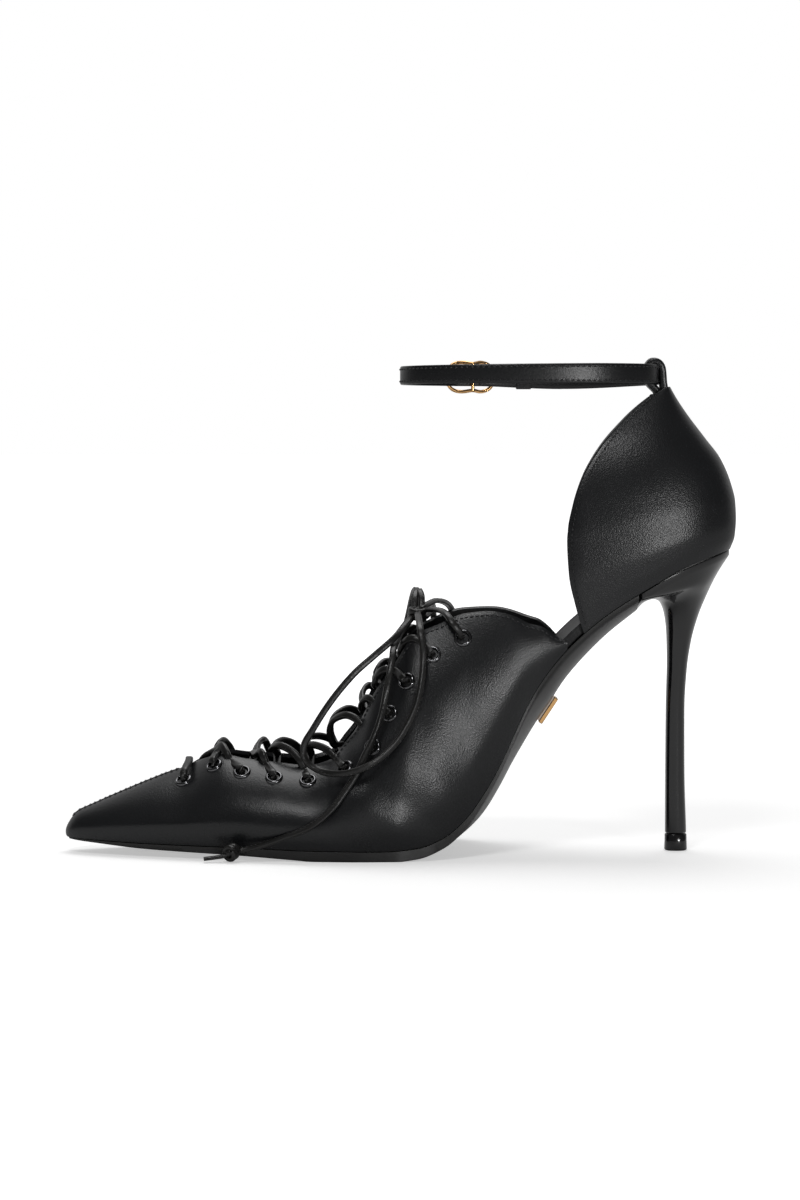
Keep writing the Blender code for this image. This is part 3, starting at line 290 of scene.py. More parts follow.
# how far the edge of the quarters lies below the table, in millimetres
nearDip = curveThrough([0, 121, 134.6, 145, 154.2, 160.8, 167.3, 170.6, 173.1, 232],
                       [0, 0, 1.2, 1.2, 2.4, 4.5, 4.7, 3.5, 0.5, 0.5])
farDip = curveThrough([0, 128, 138, 148, 158, 164, 169, 173.1, 232], [0, 0, 1.2, 1.6, 1.2, 1.3, 2.2, 3.0, 3.0])

def edgeDip(along, side):
    return nearDip(along) if side == medial else farDip(along)

def edgePoint(along, side):
    # Where the wall of the front upper ends: the ridge over the toes, or the edge of the throat.
    height = upperEdge["height"](along)
    nose = 7.2
    height = nose + (height - nose) * roundedEnd(along, 6.0)
    if side == lateral:
        height -= upperEdge["drop"](along)
    height -= edgeDip(along, side)
    return middle(along) + side * upperEdge["gap"](along), height

lowShare = 0.28

def upperPoint(along, side, share):
    # A point of the front upper's outer face. Share runs from 0 at the seam to 1 at the edge.
    seamY = middle(along) + side * halfWidth(along)
    seamZ = seamHeight(along)
    edgeY, edgeZ = edgePoint(along, side)
    wideY = seamY + side * roundness["bulge"](along) * roundedEnd(along, 3.0)
    wideZ = seamZ + roundness["waist"](along) * (edgeZ - seamZ)
    if share < lowShare:
        part = share / lowShare
        y = seamY + (wideY - seamY) * math.sin(part * math.pi / 2)
        z = seamZ + (wideZ - seamZ) * part
    else:
        part = (share - lowShare) / (1 - lowShare)
        turn = math.radians(roundness["turn"](along))
        crown = roundness["crown"](along)
        inward = (1 - max(math.cos(turn * part), 0) ** crown) / (1 - max(math.cos(turn), 0) ** crown)
        upward = (math.sin(turn * part) / math.sin(turn)) ** crown
        y = wideY + (edgeY - wideY) * inward
        z = wideZ + (edgeZ - wideZ) * upward
    return Vector((toeX + along, y, z))

def upperNormal(along, side, share):
    # The outward direction of the front upper's wall.
    step = 0.02
    low, high = max(share - step, 0.0), min(share + step, 1.0)
    up = upperPoint(along, side, high) - upperPoint(along, side, low)
    back = upperPoint(along + step, side, share) - upperPoint(max(along - step, 0.01), side, share)
    out = back.cross(up) if side == medial else up.cross(back)
    return out.normalized()

def shareAtHeight(along, side, height):
    return seek(0.0, 1.0, 30, lambda share: upperPoint(along, side, share).z < height)

def evenAngles(reach, half):
    # The angle at each share of the length around a quarter of the counter's section.
    power, steps = 2 / counterPower, 60
    angles = [math.pi / 2 * k / steps for k in range(steps + 1)]
    line = [Vector((reach * math.cos(a) ** power, half * math.sin(a) ** power)) for a in angles[:-1]]
    line.append(Vector((0, half)))
    lengths = lengthsAlong(line)
    return curveThrough([length / lengths[-1] for length in lengths], angles)

angleAround = evenAngles(55.0, 24.0)

def counterPoint(level, around):
    # A point of the counter's outer face. Around runs from -1 at the medial front edge to 1.
    frontX, backX = counterLevels["frontX"](level), counterLevels["backX"](level)
    frontZ, backZ = counterLevels["frontZ"](level), counterLevels["backZ"](level)
    angle = angleAround(abs(around))
    power = 2 / counterPower
    x = frontX + (backX - frontX) * math.cos(angle) ** power if abs(around) < 1 else frontX
    y = math.copysign(counterLevels["half"](level) * math.sin(angle) ** power, around)
    z = frontZ + (backZ - frontZ) * (x - frontX) / (backX - frontX)
    seat = max(1 - level / 0.25, 0.0)
    startX, startZ = counterLevels["frontX"](0), counterLevels["frontZ"](0)
    straight = startZ + (counterLevels["backZ"](0) - startZ) * (x - startX) / (counterLevels["backX"](0) - startX)
    z += seat * (seam["height"](x - toeX) - straight)
    return Vector((x, middle(x - toeX) + y, z))

def eyeletSpot(number, side):
    # Centre and outward direction of an eyelet, counted from 0 at the toe.
    along, depth = eyeletPlaces[number]
    share = shareAtHeight(along, side, edgePoint(along, side)[1] + edgeDip(along, side) - depth)
    return upperPoint(along, side, share), upperNormal(along, side, share)

def strapPlan(angle, offset):
    # A point of the strap's middle line in plan, moved outwards by the offset.
    power = 2 / strapPower
    longHalf = strapLength / 2 - strapThick / 2

    def onRing(degrees):
        turn = math.radians(degrees)
        return Vector((
            strapLength / 2 + longHalf * powerOf(math.cos(turn), power),
            (strapHalf - strapThick / 2) * powerOf(math.sin(turn), power),
        ))

    run = onRing(angle + 1) - onRing(angle - 1)
    return onRing(angle) + Vector((run.y, -run.x)).normalized() * offset

def strapHeights(x, y):
    # Lower and upper edge of the strap.
    low = strapLow - strapDrop * (y / strapHalf + 1) / 2
    front, back = strapTall
    return low, low + front + (back - front) * min(max(x / 68, 0), 1)

def buckleAngle(x):
    # The angle of the strap's loop at a place on its lateral side.
    return seek(60.0, 178.0, 40, lambda angle: strapPlan(angle, 0).x > x)

def buckleHeight():
    low, high = strapHeights(buckleX, strapHalf)
    return (low + high) / 2

medial, lateral = -1, 1
print("shape curves ready")

# making meshes
def addMesh(name, points, faces, finish, slotName, smooth=50, nodes=()):
    # one piece in its finish, smooth but for edges sharper than an angle, in the place of its CAD nodes
    mesh = bpy.data.meshes.new(name)
    mesh.from_pydata([Vector(p) * mm for p in points], [], faces)
    shape = bmesh.new()
    shape.from_mesh(mesh)
    bmesh.ops.recalc_face_normals(shape, faces=shape.faces)
    shape.to_mesh(mesh)
    shape.free()
    mesh.shade_smooth()
    mesh.set_sharp_from_angle(angle=math.radians(smooth))
    mesh.materials.append(finish)
    piece = addObject(name, mesh)
    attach(piece, "root")
    if nodes:
        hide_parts(*nodes)
    return piece

def joinMesh(points, faces, more):
    # puts one more part, given by its points and faces, into a mesh
    start = len(points)
    points += more[0]
    faces += [[start + n for n in face] for face in more[1]]

def turns(count, shift=0.5):
    # evenly spaced angles all the way round
    return [2 * math.pi * (k + shift) / count for k in range(count)]

def gridFaces(rows, columns):
    # quads of a grid of points, row by row
    return [[a, a + columns, a + columns + 1, a + 1]
            for i in range(rows - 1) for a in range(i * columns, (i + 1) * columns - 1)]

def tubeFaces(rings, sides):
    # both ends and the sides of a tube made of rings of points
    ends = [list(range(sides)), list(range((rings - 1) * sides, rings * sides))]
    return ends + [[k + n, k + (n + 1) % sides, k + sides + (n + 1) % sides, k + sides + n]
                   for k in range(0, (rings - 1) * sides, sides) for n in range(sides)]

def loftRings(name, rings, finish, slotName, smooth=50, nodes=()):
    # closed rings of equal length joined into a solid
    points = [p for ring in rings for p in ring]
    return addMesh(name, points, tubeFaces(len(rings), len(rings[0])), finish, slotName, smooth, nodes)

def roundTheEdges(piece, width, segments=3, angle=35):
    bevel = piece.modifiers.new("roundedEdges", "BEVEL")
    bevel.width = width * mm
    bevel.segments = segments
    bevel.limit_method = "ANGLE"
    bevel.angle_limit = math.radians(angle)
    bevel.harden_normals = False

def thicken(piece, wall, insideFinish):
    # the modelled sheet is the outer face, the wall goes inwards
    piece.data.materials.append(insideFinish)
    wallModifier = piece.modifiers.new("wall", "SOLIDIFY")
    wallModifier.thickness = wall * mm
    wallModifier.offset = -1
    wallModifier.use_even_offset = False
    wallModifier.material_offset = 1
    wallModifier.material_offset_rim = 0

def tubePoints(path, radius, sides=12, closed=False):
    # a round tube along a line, with flat ends or closed to a ring
    path = [Vector(p) for p in path]
    count = len(path)
    points, up = [], path[0]
    for k, point in enumerate(path):
        run = (path[(k + 1) % count] - path[k - 1]).normalized() if closed else runAt(path, k)
        if k == 0:
            up = run.orthogonal()
        up = (up - run * up.dot(run)).normalized()
        across = run.cross(up)
        points += [point + (up * math.cos(turn) + across * math.sin(turn)) * radius for turn in turns(sides, 0)]
    if not closed:
        return points, tubeFaces(count, sides)
    # the last ring meets the first where their points lie closest
    last = (count - 1) * sides
    gaps = [(points[last] - points[n]).length for n in range(sides)]
    shift = gaps.index(min(gaps))
    return points, tubeFaces(count, sides)[2:] + [
        [last + n, last + (n + 1) % sides, (n + 1 + shift) % sides, (n + shift) % sides] for n in range(sides)]

# materials
leatherLook = {
    "upperLeather": {"color": (0.0066, 0.0070, 0.0078), "roughness": 0.29, "grain": 0.20, "grainScale": 2300},
    "liningLeather": {"color": (0.007, 0.007, 0.0075), "roughness": 0.55, "grain": 0.40, "grainScale": 1300},
    "strapLeather": {"color": (0.0055, 0.0058, 0.0065), "roughness": 0.30, "grain": 0.14, "grainScale": 2200},
    "soleLeather": {"color": (0.0068, 0.0066, 0.0066), "roughness": 0.33, "grain": 0.05, "grainScale": 900,
                    "coat": 0.04},
    "laceLeather": {"color": (0.0075, 0.0073, 0.0070), "roughness": 0.32, "grain": 0.14, "grainScale": 1800,
                    "coat": 0.02},
    "thread": {"color": (0.010, 0.010, 0.011), "roughness": 0.42, "grain": 0.2, "grainScale": 3000},
}

finishLook = {
    "sheenVaries": 0.05, "sheenPatches": 45, "dyeVaries": 1.5, "specular": 0.42, "leatherCoatRoughness": 0.22,
    "glossCoat": 0.35, "glossCoatRoughness": 0.03, "glossPatches": 90, "glossWave": 0.02, "metalWear": 700,
    "metalScratches": 0.05, "glossRoughness": (0.7, 1.4), "metalRoughness": (0.6, 1.5),
}

def feed(made, node, settings):
    # gives each input a fixed value, or links it to the output of another node
    for name, value in settings.items():
        if isinstance(value, bpy.types.NodeSocket):
            made.node_tree.links.new(value, node.inputs[name])
        else:
            node.inputs[name].default_value = value

def addNode(made, kind, settings, output=None, **options):
    # a new node, or one of its outputs
    node = made.node_tree.nodes.new("ShaderNode" + kind)
    for name, value in options.items():
        setattr(node, name, value)
    feed(made, node, settings)
    return node.outputs[output] if output else node

def mapped(made, value, low, high, fromLow=0.0, fromHigh=1.0):
    return addNode(made, "MapRange", {"Value": value, "From Min": fromLow, "From Max": fromHigh, "To Min": low,
                                      "To Max": high}, "Result")

def bumped(made, height, strength, distance):
    return addNode(made, "Bump", {"Height": height, "Strength": strength, "Distance": distance}, "Normal")

def noise(made, scale, detail, place):
    return addNode(made, "TexNoise", {"Scale": scale, "Detail": detail, "Vector": place}, "Fac")

def newMaterial(name):
    made = bpy.data.materials.new(name)
    made.use_nodes = True
    return made, made.node_tree.nodes["Principled BSDF"], addNode(made, "TexCoord", {}, "Object")

def leatherMaterial(name, look):
    made, shader, place = newMaterial(name)
    # uneven sheen, a few centimetres across, and a slight change of depth in the dye
    patches = noise(made, finishLook["sheenPatches"], 4, place)
    varies = finishLook["sheenVaries"]
    deeper = (*(c * finishLook["dyeVaries"] for c in look["color"]), 1)
    dye = addNode(made, "Mix", {"A": (*look["color"], 1), "B": deeper, "Factor": patches}, "Result", data_type="RGBA")
    # fine grain, with soft pores over it
    cells = addNode(made, "TexVoronoi", {"Scale": look["grainScale"], "Vector": place}, "Distance")
    pores = noise(made, look["grainScale"] * 0.4, 3, place)
    both = addNode(made, "Math", {0: cells, 1: pores}, "Value", operation="ADD")
    feed(made, shader, {
        "Coat Weight": look.get("coat", 0.0), "Coat Roughness": finishLook["leatherCoatRoughness"],
        "Specular IOR Level": finishLook["specular"], "Base Color": dye,
        "Roughness": mapped(made, patches, look["roughness"] - varies, look["roughness"] + varies),
        "Normal": bumped(made, both, look["grain"], 0.0002),
    })
    return made

def glossMaterial(name, color, roughness):
    made, shader, place = newMaterial(name)
    patches = noise(made, finishLook["glossPatches"], 3, place)
    low, high = finishLook["glossRoughness"]
    feed(made, shader, {
        "Base Color": (*color, 1), "Coat Weight": finishLook["glossCoat"],
        "Coat Roughness": finishLook["glossCoatRoughness"],
        "Roughness": mapped(made, patches, roughness * low, roughness * high),
        "Normal": bumped(made, patches, finishLook["glossWave"], 0.001),
    })
    return made

def metalMaterial(name, color, roughness, coat=0.0):
    made, shader, place = newMaterial(name)
    wear = noise(made, finishLook["metalWear"], 5, place)
    low, high = finishLook["metalRoughness"]
    feed(made, shader, {
        "Base Color": (*color, 1), "Metallic": 1.0, "Coat Weight": coat,
        "Roughness": mapped(made, wear, roughness * low, roughness * high),
        "Normal": bumped(made, wear, finishLook["metalScratches"], 0.0001),
    })
    return made

upperLeather, liningLeather, strapLeather, soleLeather, laceLeather, thread = (
    leatherMaterial(name, look) for name, look in leatherLook.items())
glossHeel = glossMaterial("glossHeel", (0.004, 0.004, 0.0045), 0.10)
glossTip = glossMaterial("glossTip", (0.005, 0.005, 0.0055), 0.16)
blackMetal = metalMaterial("blackMetal", (0.11, 0.11, 0.115), 0.12, 0.4)
paleGold = metalMaterial("paleGold", (0.80, 0.47, 0.20), 0.15)
print("materials ready")

# laces: a flat folded strip, swept along a path with its flat side turned to a given direction
laceLook = {"width": 2.3, "thick": 1.65, "crossWidth": 2.6, "crossThick": 1.9, "sides": 12, "stitchPitch": 1.5,
            "stitchRadius": 0.14, "stitchAside": 0.52, "crossStitchAside": 0.55, "step": 0.9, "crossStep": 0.8}

def evenRoute(route, hints, step, parts=16):
    # points at even steps along a smooth curve, with the flat side's direction at each
    route = [Vector(p) for p in route]
    hints = [Vector(h).normalized() for h in hints]
    dense, denseHints = [], []
    last = len(route) - 1
    for k in range(last):
        before, a, b, after = route[max(k - 1, 0)], route[k], route[k + 1], route[min(k + 2, last)]
        for n in range(parts):
            t = n / parts
            dense.append(0.5 * (2 * a + (b - before) * t + (2 * before - 5 * a + 4 * b - after) * t**2
                                + (3 * a - before - 3 * b + after) * t**3))
            denseHints.append(hints[k].lerp(hints[k + 1], t))
    dense.append(route[-1])
    denseHints.append(hints[-1])
    lengths = lengthsAlong(dense)
    count = max(round(lengths[-1] / step), 2)
    places = [lengths[-1] * k / count for k in range(count + 1)]
    return [[spotAt(line, lengths, place) for place in places] for line in (dense, denseHints)]

def smoothRoute(route, step):
    return evenRoute(route, [(0, 0, 1)] * len(route), step, 12)[0]

def stripMesh(points, ups, width, thick):
    # rounded strip section, closed at both ends
    ringPoints = []
    for k, point in enumerate(points):
        run = runAt(points, k)
        up = ups[k] - run * ups[k].dot(run)
        up = up.normalized() if up.length > 1e-5 else run.orthogonal().normalized()
        across = run.cross(up)
        for turn in turns(laceLook["sides"]):
            side, rise = powerOf(math.cos(turn), 0.55), powerOf(math.sin(turn), 0.7)
            ringPoints.append(point + across * side * width / 2 + up * rise * thick / 2)
    return ringPoints, tubeFaces(len(points), laceLook["sides"])

def addStrip(points, faces, route, hints, step, width, thick):
    # adds a strip along a route, and gives its middle line and the direction of its flat side
    line, ups = evenRoute(route, hints, step)
    joinMesh(points, faces, stripMesh(line, ups, width, thick))
    return line, ups

# a stitch: places along it, and how thick it is there
stitchProfile = [(0.0, 0.25), (0.18, 0.8), (0.5, 1.0), (0.82, 0.8), (1.0, 0.25)]

def stitchMesh(points, faces, spots, radius):
    # adds small rounded stitches, each given by its two ends
    for start, end in spots:
        run = end - start
        up = run.normalized().orthogonal()
        across = run.normalized().cross(up)
        skin = [start + run * along + (up * math.cos(turn) + across * math.sin(turn)) * radius * grow
                for along, grow in stitchProfile for turn in turns(6, 0)]
        joinMesh(points, faces, (skin, tubeFaces(len(stitchProfile), 6)))

def stitchRow(points, faces, line, pitch, radius, share=0.68):
    # stitches along a line of points, with a small gap between two
    lengths = lengthsAlong(line)
    spots = [[spotAt(line, lengths, (k + (1 + end * share) / 2) * pitch) for end in (-1, 1)]
             for k in range(int(lengths[-1] / pitch))]
    stitchMesh(points, faces, spots, radius)

def bendsFor(points, flips):
    # the same flat side all the way: a hint may point either way along its axis
    turned = [Vector(flips[0])]
    for hint in flips[1:]:
        hint = Vector(hint)
        turned.append(hint if hint.dot(turned[-1]) >= 0 else -hint)
    return turned

def addLaceStitches(points, faces, line, ups, side):
    # one row of stitches near the edge of the strip, on both of its faces
    for face in (1, -1):
        row = []
        for k, point in enumerate(line):
            run = runAt(line, k)
            up = (ups[k] - run * ups[k].dot(run)).normalized()
            across = run.cross(up)
            row.append(point + across * side * laceLook["width"] / 2 + up * face * laceLook["thick"] * 0.47)
        stitchRow(points, faces, row, laceLook["stitchPitch"], laceLook["stitchRadius"])

def freeLace(name, route, flips, nodes):
    # a free run of lace with its stitches
    points, faces = [], []
    line, ups = addStrip(points, faces, route, bendsFor(route, flips), laceLook["step"], laceLook["width"],
                         laceLook["thick"])
    addLaceStitches(points, faces, line, ups, laceLook["stitchAside"])
    piece = addMesh(name, points, faces, laceLeather, "lace_leather", 60, nodes)

def coiledKnot(name, centre, coils, nodes, stub=()):
    # a small wrapped knot: the strip wound round an axis, once or more, each with its radius, length and turns
    points, faces = [], []
    for axis, radius, length, rounds in coils:
        axis = Vector(axis).normalized()
        across = axis.orthogonal().normalized()
        other = axis.cross(across)
        route, flips = [], []
        steps = int(rounds * 10)
        for k in range(steps + 1):
            turn = 2 * math.pi * rounds * k / steps
            flips.append(across * math.cos(turn) + other * math.sin(turn))
            route.append(Vector(centre) + axis * length * (k / steps - 0.5) + flips[-1] * radius)
        addStrip(points, faces, route, flips, 0.6, laceLook["width"], laceLook["thick"])
    if stub:
        # the cut end of the lace sticks out of the knot
        hints = [(0, 0, 1)] * (len(stub) + 1)
        addStrip(points, faces, [centre, *stub], hints, 0.8, laceLook["width"], laceLook["thick"] * 0.8)
    return addMesh(name, points, faces, laceLeather, "lace_leather", 60, nodes)

bowKnot = coiledKnot("bowKnot", (5.9, -6.2, 82.6),
                     [((0.15, -0.25, 0.95), 2.5, 3.2, 1.8), ((0.4, -0.9, 0.1), 1.2, 4.6, 1.6)], ["lace_knot"])
endKnotNear = coiledKnot("endKnotNear", (-57.2, -35.6, 3.5),
                         [((0.5, 0.8, 0.3), 2.1, 2.8, 2.2), ((0.9, -0.3, 0.2), 0.9, 2.8, 1.2)],
                         ["lace_end_knot_medial"], [(-60.0, -36.0, 2.2), (-66.5, -36.2, 1.3)])
endKnotFar = coiledKnot("endKnotFar", (-12.4, 39.4, 3.4),
                        [((0.5, -0.8, 0.3), 1.9, 2.8, 2.2), ((0.9, 0.3, 0.2), 0.9, 2.8, 1.2)],
                        ["lace_end_knot_lateral"], [(-15.0, 39.4, 2.0), (-19.0, 39.0, 1.3)])

spotNear, outNear = eyeletSpot(10, medial)
spotFar, outFar = eyeletSpot(10, lateral)
freeLace("laceTieNear",
         [spotNear - outNear * 2.4, spotNear + outNear * 0.2 + Vector((-0.5, 0, 0.6)),
          spotNear + outNear * 2.0 + Vector((-1.1, 0, 1.6)), (17.8, -27.2, 80.9), (15.6, -23.2, 83.8),
          (13.0, -14.5, 84.4), (9.8, -6.4, 84.0), (7.6, -4.4, 83.4)],
         [(-1, 0, 1), (-1, 0, 1), outNear, (0, -1, 0.6), (0, -0.5, 1), (0, -0.2, 1), (0, -0.4, 1), (0, -0.6, 1)],
         ["lace_tie_medial"])
freeLace("laceTieFar",
         [spotFar - outFar * 2.4, spotFar + outFar * 0.2 + Vector((-0.5, 0, 0.6)),
          spotFar + outFar * 2.0 + Vector((-1.0, 0, 2.0)), (18.9, 29.8, 80.6), (17.4, 26.6, 83.4),
          (15.2, 18.0, 85.4), (12.4, 9.0, 86.2), (9.0, 0.4, 85.2), (7.2, -2.6, 84.2)],
         [(-1, 0, 1), (-1, 0, 1), outFar, (0, 1, 0.4), (0, 0.6, 1), (0, 0.3, 1), (0, 0, 1), (0, 0, 1), (0, 0, 1)],
         ["lace_tie_lateral"])
freeLace("laceLoopNear",
         [(4.6, -5.0, 82.2), (2.6, -13.5, 80.4), (-2.0, -23.6, 75.4), (-9.0, -26.0, 69.4), (-15.0, -27.6, 64.2),
          (-20.4, -28.6, 58.2), (-25.2, -29.4, 51.8), (-29.6, -30.0, 44.8), (-32.6, -30.0, 39.4),
          (-32.2, -30.0, 34.4), (-28.2, -31.0, 31.2), (-23.2, -34.6, 30.2), (-17.6, -38.6, 30.8),
          (-11.4, -39.6, 33.0), (-6.0, -38.6, 36.4), (-1.6, -37.2, 40.6), (2.0, -36.0, 45.8), (5.0, -34.4, 52.0),
          (6.8, -33.0, 58.4), (7.8, -32.0, 65.8), (7.8, -30.6, 73.0), (6.9, -27.5, 78.8), (6.3, -18.0, 82.2),
          (6.0, -9.0, 82.8)],
         [(0, -0.3, 1), (0, -0.5, 1), (0.5, -0.8, 0.6), (0.5, -0.9, 0.5), (0.4, -1, 0.3), (0.2, -1, 0.2),
          (0, -1, 0), (0, -1, 0), (0.3, -1, 0), (0.6, -0.8, 0.3), (0.3, -0.8, 0.5), (0, -1, 0.2), (0, -1, 0),
          (0.2, -1, -0.1), (0.3, -1, -0.2), (0.5, -0.9, -0.2), (0.7, -0.8, 0), (0.8, -0.6, 0), (0.7, -0.7, 0),
          (0.4, -0.9, 0), (0.1, -1, 0.1), (0, -0.9, 0.5), (0, -0.2, 1), (0, -0.4, 1)],
         ["lace_loop_medial"])
freeLace("laceLoopFar",
         [(7.5, -1.7, 84.4), (7.5, 0.8, 88.0), (6.8, 5.2, 89.9), (6.9, 18.0, 87.8), (8.0, 28.6, 80.6),
          (9.2, 34.0, 69.0), (9.8, 38.0, 58.6), (9.6, 39.4, 52.0), (8.25, 39.9, 48.75), (5.0, 40.0, 47.4),
          (1.75, 39.8, 48.75), (0.4, 39.2, 52.0), (0.2, 37.4, 58.8), (1.2, 32.4, 71.0), (3.2, 26.0, 81.0),
          (4.8, 15.0, 88.6), (5.8, 6.8, 90.2), (5.2, 1.6, 88.0), (5.2, -1.5, 84.2)],
         [(0, -1, 0.6), (0, -0.6, 1), (0, 0, 1), (0, 0.4, 1), (0, 0.8, 0.6), (0, 1, 0.4), (0, 1, 0.1), (0, 1, 0),
          (0, 1, 0), (0, 1, 0), (0, 1, 0), (0, 1, 0), (0, 1, 0.1), (0, 1, 0.4), (0, 0.8, 0.6), (0, 0.3, 1),
          (0, 0, 1), (0, -0.6, 1), (0, -1, 0.6)],
         ["lace_loop_lateral"])
freeLace("laceEndNear",
         [(4.2, -4.6, 81.4), (1.2, -8.4, 77.4), (-0.6, -16.0, 75.0), (-2.2, -25.4, 72.0), (-2.8, -30.4, 67.2),
          (-4.2, -33.0, 60.4), (-5.8, -34.6, 51.8), (-7.4, -35.6, 46.6), (-9.6, -36.4, 41.0), (-12.0, -36.4, 36.4),
          (-14.6, -36.2, 30.6), (-19.0, -37.2, 23.8), (-23.0, -38.2, 18.6), (-30.2, -38.8, 12.6),
          (-40.0, -37.2, 8.4), (-49.6, -35.4, 5.0), (-54.6, -34.8, 4.0)],
         [(0, -0.8, 0.6), (-0.3, -0.4, 1), (0, -0.4, 1), (0, -0.8, 0.6), (0, -1, 0.3), (0, -1, 0), (0.5, -0.8, 0),
          (0.9, -0.3, 0.3), (0.8, -0.6, 0.4), (0.4, -1, 0), (0, -1, 0.2), (0, -1, 0.3), (0, -1, 0.4),
          (0.2, -0.7, 0.8), (0.1, -0.4, 1), (0, -0.5, 1), (0, -0.6, 1)],
         ["lace_end_medial"])
freeLace("laceEndFar",
         [(7.6, -1.0, 81.6), (8.8, 3.8, 81.0), (10.0, 11.0, 81.8), (11.0, 19.0, 82.8), (11.6, 26.6, 83.2),
          (12.0, 32.8, 78.0), (12.6, 36.2, 66.0), (13.0, 38.4, 54.0), (12.0, 40.4, 42.0), (9.0, 41.2, 30.0),
          (5.0, 41.2, 18.0), (0.0, 40.6, 9.6), (-6.0, 40.2, 5.0), (-10.0, 40.0, 4.0)],
         [(0, 0, 1), (0, 0, 1), (0, 0, 1), (0, 0.2, 1), (0, 0.6, 1), (0, 1, 0.3), (0, 1, 0.2), (0, 1, 0), (0, 1, 0),
          (0, 1, 0), (0, 1, 0.3), (0, 0.8, 0.6), (0, 0.5, 1), (0, 0.4, 1)],
         ["lace_end_lateral"])

# the loose arch of each strand from its eyelet over the edge: x, z, and how far inside the edge it runs
crossArches = {
    1: [(-63.6, 34.2, -1.0), (-62.6, 35.9, 1.5)],
    2: [(-58.2, 32.2, -1.6), (-59.7, 34.9, -1.0), (-61.6, 37.3, 2.0), (-63.5, 35.9, 5.0)],
    3: [(-45.7, 31.3, -1.6), (-47.1, 34.7, -0.9), (-48.1, 35.7, 1.0), (-49.7, 34.3, 4.0)],
    4: [(-32.7, 29.5, -1.6), (-34.4, 33.2, -1.1), (-37.7, 36.5, 0.5), (-41.7, 37.8, 3.0), (-44.3, 36.1, 8.0)],
    5: [(-21.7, 33.7, -1.2), (-25.0, 36.7, 1.0), (-29.3, 38.0, 4.0), (-32.5, 37.1, 8.0)],
    6: [(-11.3, 41.2, -1.8), (-12.5, 44.7, -1.4), (-15.1, 47.5, 0.0), (-18.9, 48.6, 2.0), (-23.0, 46.4, 5.0),
        (-24.3, 42.4, 8.0), (-22.8, 37.5, 12.0)],
    7: [(-6.3, 51.9, -1.8), (-9.2, 54.0, -1.0), (-11.3, 54.7, 1.0), (-13.0, 53.0, 3.5), (-13.1, 50.2, 8.0)],
    8: [(-1.5, 64.2, -1.8), (-5.3, 64.6, -0.5), (-7.9, 62.2, 2.0), (-8.6, 58.8, 5.0)],
    9: [(8.0, 73.2, -1.8), (4.4, 75.3, -0.3), (1.0, 73.2, 2.5), (0.0, 69.5, 6.0)],
}
farLift = {1: 0.6, 2: 0.5, 3: 1.5, 4: -0.8, 5: 0.4, 6: -1.0, 7: 0.8, 8: -0.8, 9: 0.4}

def laceStrandRoute(side):
    # one strand of the crossed lace, from inside the first eyelet on this side up to the last pair
    route, flips = [], []
    for number in range(1, 10):
        spot, out = eyeletSpot(number - 1, side)
        heart = middle(spot.x - toeX)
        route += [spot - out * 1.0, spot - out * (wallThick + 1.6)]
        flips += [Vector((0, 0, 1)), out]
        side = -side
        arch = crossArches[number]
        lift = farLift[number] if side == lateral else 0.0
        edgeY = edgePoint(eyeletPlaces[number][0], side)[0]
        x, z, inward = arch[-1]
        high = 0.9 if side == medial else -0.9
        route.append(Vector(((x + spot.x) / 2 + 1.0, heart, (z + spot.z) / 2 + 1.2 + high)))
        flips.append(Vector((0, 0, 1)))
        for x, z, inward in reversed(arch):
            base = edgePoint(max(x - toeX, throatStart + 1), side)[0]
            route.append(Vector((x, base - side * inward, z + lift)))
            flips.append(Vector((-0.6, side * max(0.2, 1 - inward / 4), 0.6)))
        spot, out = eyeletSpot(number, side)
        route += [spot + out * 1.5 + (route[-1] - spot).normalized() * 1.2, spot + out * 0.2, spot - out * 1.2]
        flips += [out, Vector((-0.6, 0, 0.8)), Vector((-0.6, 0, 0.8))]
    # under the last pair, straight across inside
    spot, out = eyeletSpot(9, side)
    route += [spot - out * (wallThick + 1.4)]
    flips += [out]
    far, farOut = eyeletSpot(10, -side)
    high = 1.0 if side == medial else -1.0
    route += [Vector(((spot.x + far.x) / 2, middle(spot.x - toeX), (spot.z + far.z) / 2 + high)),
              far - farOut * (wallThick + 1.6), far - farOut * 1.6]
    flips += [Vector((0, 0, 1)), farOut, Vector((0, 0, 1))]
    return route, flips

def addCrossings():
    points, faces = [], []
    size = laceLook["crossStep"], laceLook["crossWidth"], laceLook["crossThick"]
    for side in (medial, lateral):
        route, flips = laceStrandRoute(side)
        line, ups = addStrip(points, faces, route, bendsFor(route, flips), *size)
        addLaceStitches(points, faces, line, ups, laceLook["crossStitchAside"])
    # the bar in front of the throat, out of the first pair and over the ridge
    ends = []
    for side in (medial, lateral):
        spot, out = eyeletSpot(0, side)
        ends.append([spot - out * 1.2, spot + out * 0.6 + Vector((0.2, 0, 0.3)),
                     spot + out * 1.9 + Vector((0.9, -0.6 * side, 1.6)), out, out + Vector((1, 0, 0))])
    near, far = ends
    top = upperPoint(throatStart + 0.5, medial, 1.0)
    over = [top + Vector((0.6, y, z)) for y, z in ((-2.2, 1.6), (0, 2.2), (2.2, 1.6))]
    hints = [(1, 0, 0.3), near[4], near[3], (0, -0.7, 0.7), (0, 0, 1), (0, 0.7, 0.7), far[3], far[4], (1, 0, 0.3)]
    addStrip(points, faces, near[:3] + over + far[2::-1], hints, *size)
    addMesh("laceCrossings", points, faces, laceLeather, "lace_leather", 60,
            [f"lace_cross_{n:02d}" for n in range(1, 11)])

addCrossings()
print("laces tied")

# vamp and quarters
upperLook = {"wall": 1.5, "edgeRound": 0.45, "along": 1.3, "rows": 26, "feather": 5.5, "noseHeight": 7.0}

